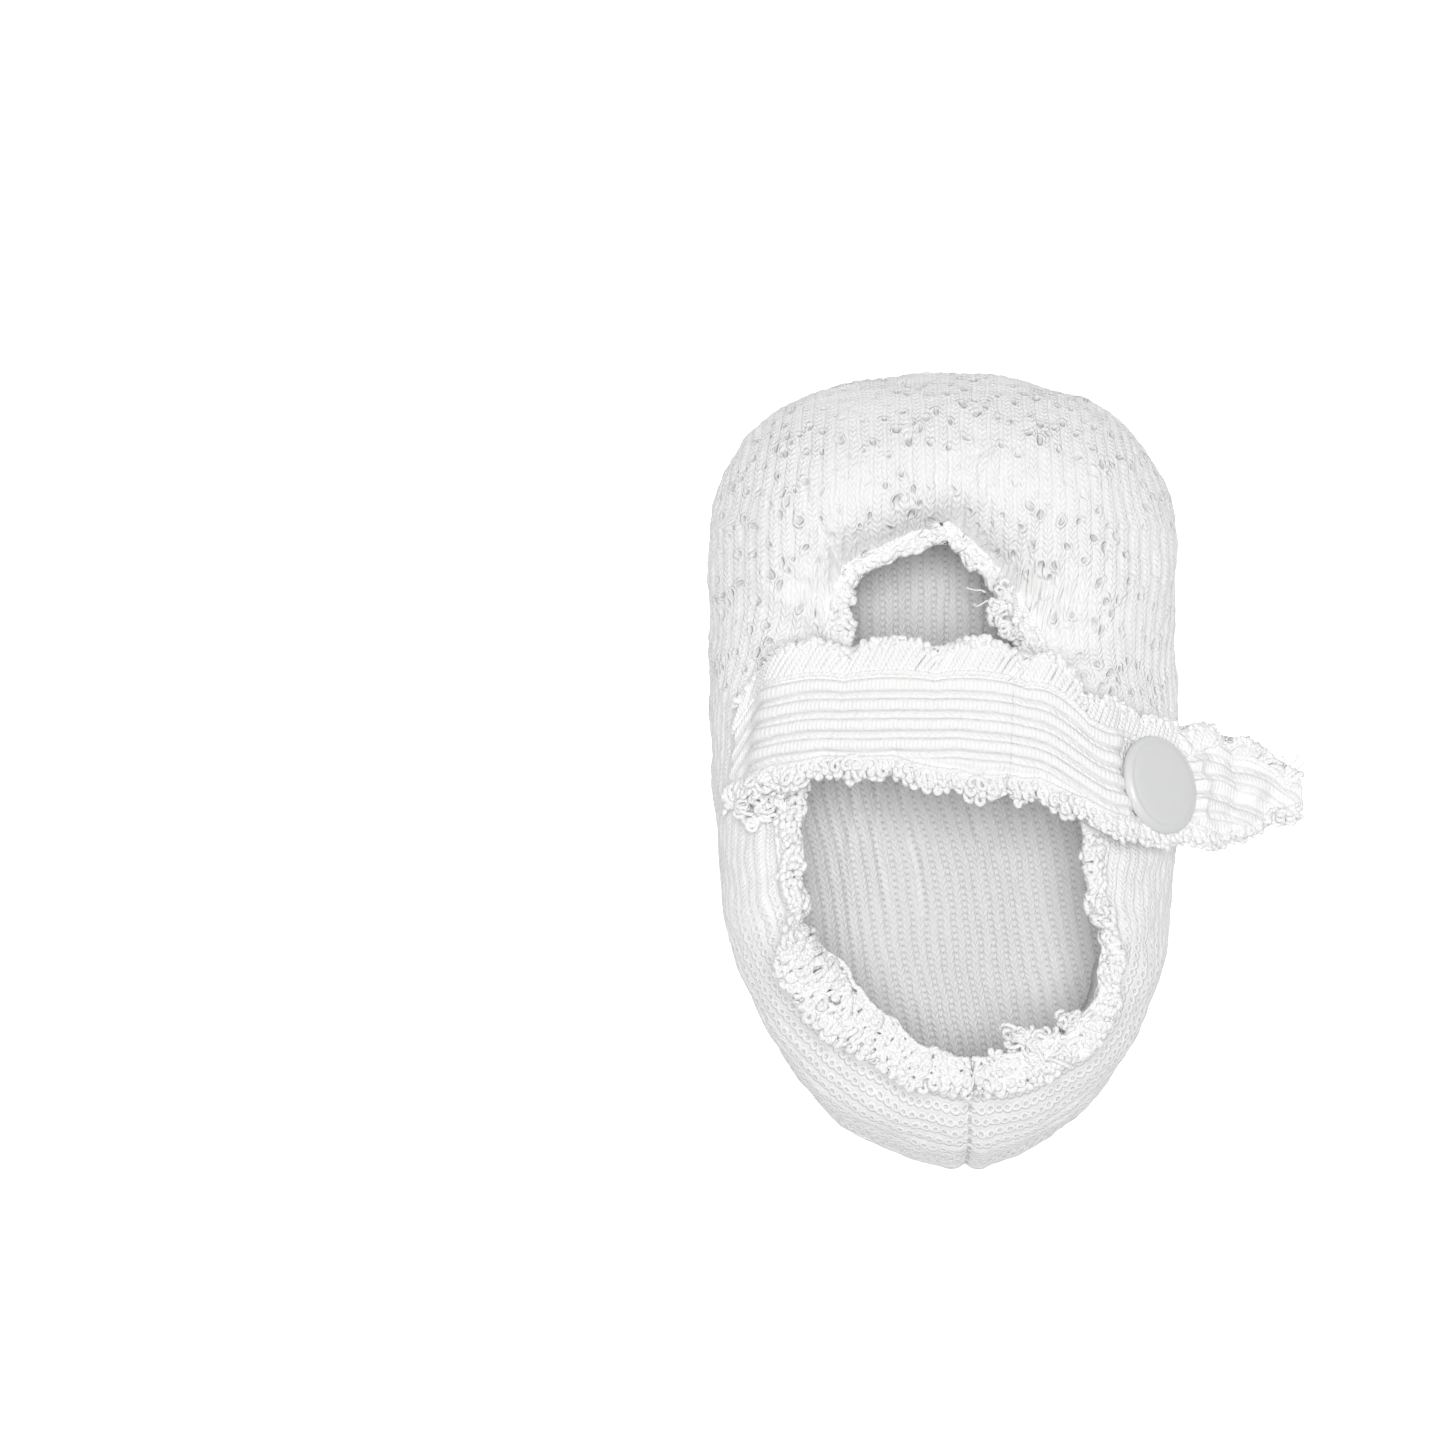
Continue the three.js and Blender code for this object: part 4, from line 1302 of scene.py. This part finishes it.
def strapRelief(s, w, width):
    fromFront = width - w - strap["frontBand"]
    core = smooth(0, 0.8, w - strap["backBand"]) * smooth(-0.3, 0.5, fromFront)
    past = (fromFront - strap["smoothBand"]) % strap["pitch"]
    rib = np.clip(1 - ((past - 1.38) / 0.78) ** 2, 0, 1) ** 0.5
    rib = rib + 0.35 * np.clip(1 - ((past - 0.37) / 0.3) ** 2, 0, 1)
    plain = 0.95 * np.clip(1 - ((fromFront - 0.5) / 1.15) ** 2, 0, 1) ** 0.5
    rib = np.where(fromFront < strap["smoothBand"], plain, rib)
    fromCap = np.hypot(s - capRun, w - width / 2)
    tail = smooth(capRun + 3, capRun + 8, s)
    relief = strap["rib"] * rib * core * smooth(4.6, 6.2, fromCap) * (1 - tail * 0.68)
    # pressed in under the cap's rim, gathered just outside it
    relief = relief - 0.3 * bell(fromCap, 5.6, 0.5) - 0.25 * (fromCap < 5)
    relief = relief + 0.35 * bell(fromCap, 7.2, 0.9) * (1 + 0.8 * waves(95, 2.2, s, w))
    # creases run out of the cap into the tail
    angle = np.arctan2(w - width / 2, s - capRun)
    crease = sum(size * bell(angle, turn, thin) for turn, size, thin in tailCreases)
    crease = crease * smooth(capRun + 4, capRun + 7, s) * (1 - 0.7 * smooth(capRun + 11, capRun + 18, s))
    crinkle = 0.05 * waves(97, 1.7, s * 0.6, w) + 0.2 * waves(98, 3.5, s * 0.5, w)
    return relief + crease + crinkle * tail


# angle from the strap's line, height and angular width of each crease in the tail
tailCreases = [(-0.5, 0.5, 0.1), (-0.26, 0.75, 0.1), (0.04, 0.5, 0.08), (0.34, 0.6, 0.1), (0.7, 0.35, 0.1)]


def makeStrapPart(name, fromS, toS, columns):
    rows, under = strap["rows"], strap["underRows"]
    last = rows + under + 2

    def place(a, b):
        s = mix(fromS, toS, a)
        row = np.rint(b * last).astype(int)
        top = row <= rows
        share = np.where(top, row / rows, 1 - (row - rows - 1) / under)
        share = np.where(row == last, 0, share)
        top = top | (row == last)
        width = strapWidth(s)
        w = mix(strap["edge"], width - strap["edge"], share)
        relief = np.where(top, strap["thick"] + strapRelief(s, w, width), 0.0)
        relief = relief * mix(0.25, 1, smooth(0, 1.3, s)) - 0.4 * (1 - smooth(0, 1.3, s))
        return strapAt(s, w, relief), width - w - strap["frontBand"] - strap["smoothBand"], s

    piece = gridPiece(name, columns, last, place, join=True)
    remake(piece.data, closeEnds)
    return dress(piece, strapKnit, None)


splitS = capRun - 19  # where the strap's two halves meet
strapInner = makeStrapPart("strapKnitInner", 0.0, splitS, 190)
strapOuter = makeStrapPart("strapKnitOuter", splitS, strapLength - 0.5, 230)
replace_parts(strapInner, "strap_sewn_end", "strap_end_seam_thread")
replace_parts(strapOuter, "strap_band", "strap_tab")

strapFrontLook = {
    "width": 3.3, "thick": 1.3, "uneven": 0.06, "stray": 0.07, "from": 0.0, "perTurn": 16,
    "wraps": [(0.66, 0.5, 0.0)],
    "loops": [(0.85, 0.2, -0.05, 0.25), (1.05, 0.28, -0.15, -0.2), (1.2, 0.22, -0.5, 0.6)],
    "thread": 0.37, "bunch": 0.12,
}
strapBackLook = {
    "width": 2.0, "thick": 1.3, "uneven": 0.2, "stray": 0.2, "from": 0.0, "perTurn": 13,
    "wraps": [(0.8, 0.3, 0.0)],
    "loops": [(1.15, 0.46, 0.05, 0.0), (1.25, 0.5, -0.5, 0.5), (1.1, 0.42, -1.2, 0.7)],
    "thread": 0.31, "bunch": 0.3,
}


def strapEdgeThreads(name, fromS, toS, look, front, seed):
    def frameAt(along, across, high):
        s = fromS + along
        width = strapWidth(s)
        tail = smooth(capRun + 4, capRun + 10, s)
        band = across * mix(1, 0.62, tail)
        reach = look["width"] * mix(1, 0.62, tail)
        w = width - reach + band if front else reach - band
        return strapAt(s, w, high + strap["thick"] / 2)

    lines = overlockLines(frameAt, toS - fromS, look, seed)
    return dressedThreads(name, lines, look["thread"])


tailEnd = strapLength - 0.8
frontInner = strapEdgeThreads("strapFrontOverlockInner", 0.3, splitS, strapFrontLook, True, 61)
frontOuter = strapEdgeThreads("strapFrontOverlockOuter", splitS, tailEnd, strapFrontLook, True, 71)
backInner = strapEdgeThreads("strapBackOverlockInner", 0.3, splitS, strapBackLook, False, 81)
backOuter = strapEdgeThreads("strapBackOverlockOuter", splitS, tailEnd, strapBackLook, False, 91)
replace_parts(frontInner, "strap_end_overlock_front")
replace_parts(backInner, "strap_end_overlock_back")
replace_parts(frontOuter, "strap_overlock_front")
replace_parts(backOuter, "strap_overlock_back", "strap_tab_overlock")

# the strap's direction 6.5 millimetres along it, and the strap pieces with their transforms baked into
# their meshes
foldRun = 6.5
foldAlong = Vector(unit(strapFrame(np.array(foldRun))[2]).tolist())
for piece in (strapInner, frontInner, backInner):
    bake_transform(piece)
for piece in (strapOuter, frontOuter, backOuter):
    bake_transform(piece)
tipRun = np.array([strapLength - 1.6])
tip = strapAt(tipRun, strapWidth(tipRun), 0.6)[0]
makeLooseEnds("tabLooseEnds", [
    (tip, (0.9, 1.7, 0.3)), (tip + [0.3, -0.4, 0], (1.3, 1.1, 0.2)),
    (tip + [-0.6, 0.2, 0], (-0.3, 1.2, 0.4)),
], "tab")
print("strap", len(strapInner.data.polygons) + len(strapOuter.data.polygons))

# snap cap
# radius and height of the profile, from the middle of its face round to its back
cap = {
    "segments": 96,
    "profile": [
        (0, 5.98), (1.5, 5.96), (3.0, 5.88), (4.2, 5.74), (4.62, 5.65), (4.76, 5.56), (4.88, 5.62),
        (5.15, 5.5), (5.38, 5.15), (5.48, 4.85), (5.42, 4.58), (5.25, 4.42), (4.95, 4.4), (4.8, 4.5),
        (4.8, 5.05), (4.5, 5.2), (0, 5.3),
    ],
}


def makeCap():
    bm = bmesh.new()
    ring = [bm.verts.new((x * mm, 0, z * mm)) for x, z in cap["profile"]]
    for first, second in zip(ring, ring[1:]):
        bm.edges.new((first, second))
    bmesh.ops.spin(bm, geom=bm.verts[:] + bm.edges[:], cent=(0, 0, 0), axis=(0, 0, 1),
                   angle=2 * math.pi, steps=cap["segments"], use_merge=True)
    bmesh.ops.remove_doubles(bm, verts=bm.verts, dist=1e-6)
    bmesh.ops.recalc_face_normals(bm, faces=bm.faces)
    mesh = meshFrom(bm, "snapCap")
    local = readPoints(mesh) / mm
    mesh.vertices.foreach_set("co", (fromSnap(*local.T) * mm).ravel())
    return dress(finishMesh("snapCap", mesh), capEnamel, "tab")


capPiece = makeCap()
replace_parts(capPiece, "snap_cap")
print("cap")

# CAD pieces that stay
for name in ("snap_stud_prong_ring", "snap_stud", "snap_socket", "snap_socket_spring",
             "snap_cap_prong_ring"):
    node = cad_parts[name]
    if not node.material_slots:
        node.data.materials.append(snapSteel)
    for slot in node.material_slots:
        slot.material = snapSteel

# floor, light and camera
bm = bmesh.new()
bmesh.ops.create_grid(bm, x_segments=1, y_segments=1, size=3.0)
floor = bpy.data.objects.new("floor", meshFrom(bm, "floor"))
bpy.context.collection.objects.link(floor)
floorPaper, paperTree = newMaterial("floorPaper", {
    "Base Color": (0.9, 0.9, 0.9, 1), "Roughness": 0.9, "Emission Color": (1, 1, 1, 1),
})
lightPath = addNode(paperTree, "ShaderNodeLightPath")
glow = paperTree.nodes["Principled BSDF"].inputs["Emission Strength"]
paperTree.links.new(lightPath.outputs["Is Camera Ray"], glow)
floor.data.materials.append(floorPaper)

studio = {"sky": 0.4, "key": 2.05}
world = bpy.data.worlds.new("studio")
world.use_nodes = True
world.node_tree.nodes["Background"].inputs["Color"].default_value = (1, 1, 1, 1)
world.node_tree.nodes["Background"].inputs["Strength"].default_value = studio["sky"]
bpy.context.scene.world = world


def addSun(name, strength, direction, angle):
    light = bpy.data.lights.new(name, "SUN")
    light.energy = strength
    light.angle = math.radians(angle)
    lamp = bpy.data.objects.new(name, light)
    lamp.rotation_mode = "QUATERNION"
    lamp.rotation_quaternion = Vector(direction).to_track_quat("-Z", "Y")
    bpy.context.collection.objects.link(lamp)


addSun("keyLight", studio["key"], (0.0, -0.01, -1), 22)

view = {"width": 0.159, "distance": 1.1, "elevation": 88.0, "aim": (-0.024, 0.0049, 0.012)}
camera = bpy.data.cameras.new("camera")
camera.sensor_width = 36
camera.lens = 36 * view["distance"] / view["width"]
camera.clip_start, camera.clip_end = 0.01, 10
cameraObject = bpy.data.objects.new("camera", camera)
rise = math.radians(view["elevation"])
back = Vector((0, -math.cos(rise), math.sin(rise)))
cameraObject.location = Vector(view["aim"]) + back * view["distance"]
cameraObject.rotation_mode = "QUATERNION"
cameraObject.rotation_quaternion = (-back).to_track_quat("-Z", "Y")
bpy.context.collection.objects.link(cameraObject)
bpy.context.scene.camera = cameraObject
bpy.context.scene.view_settings.view_transform = "Standard"
print("stage")
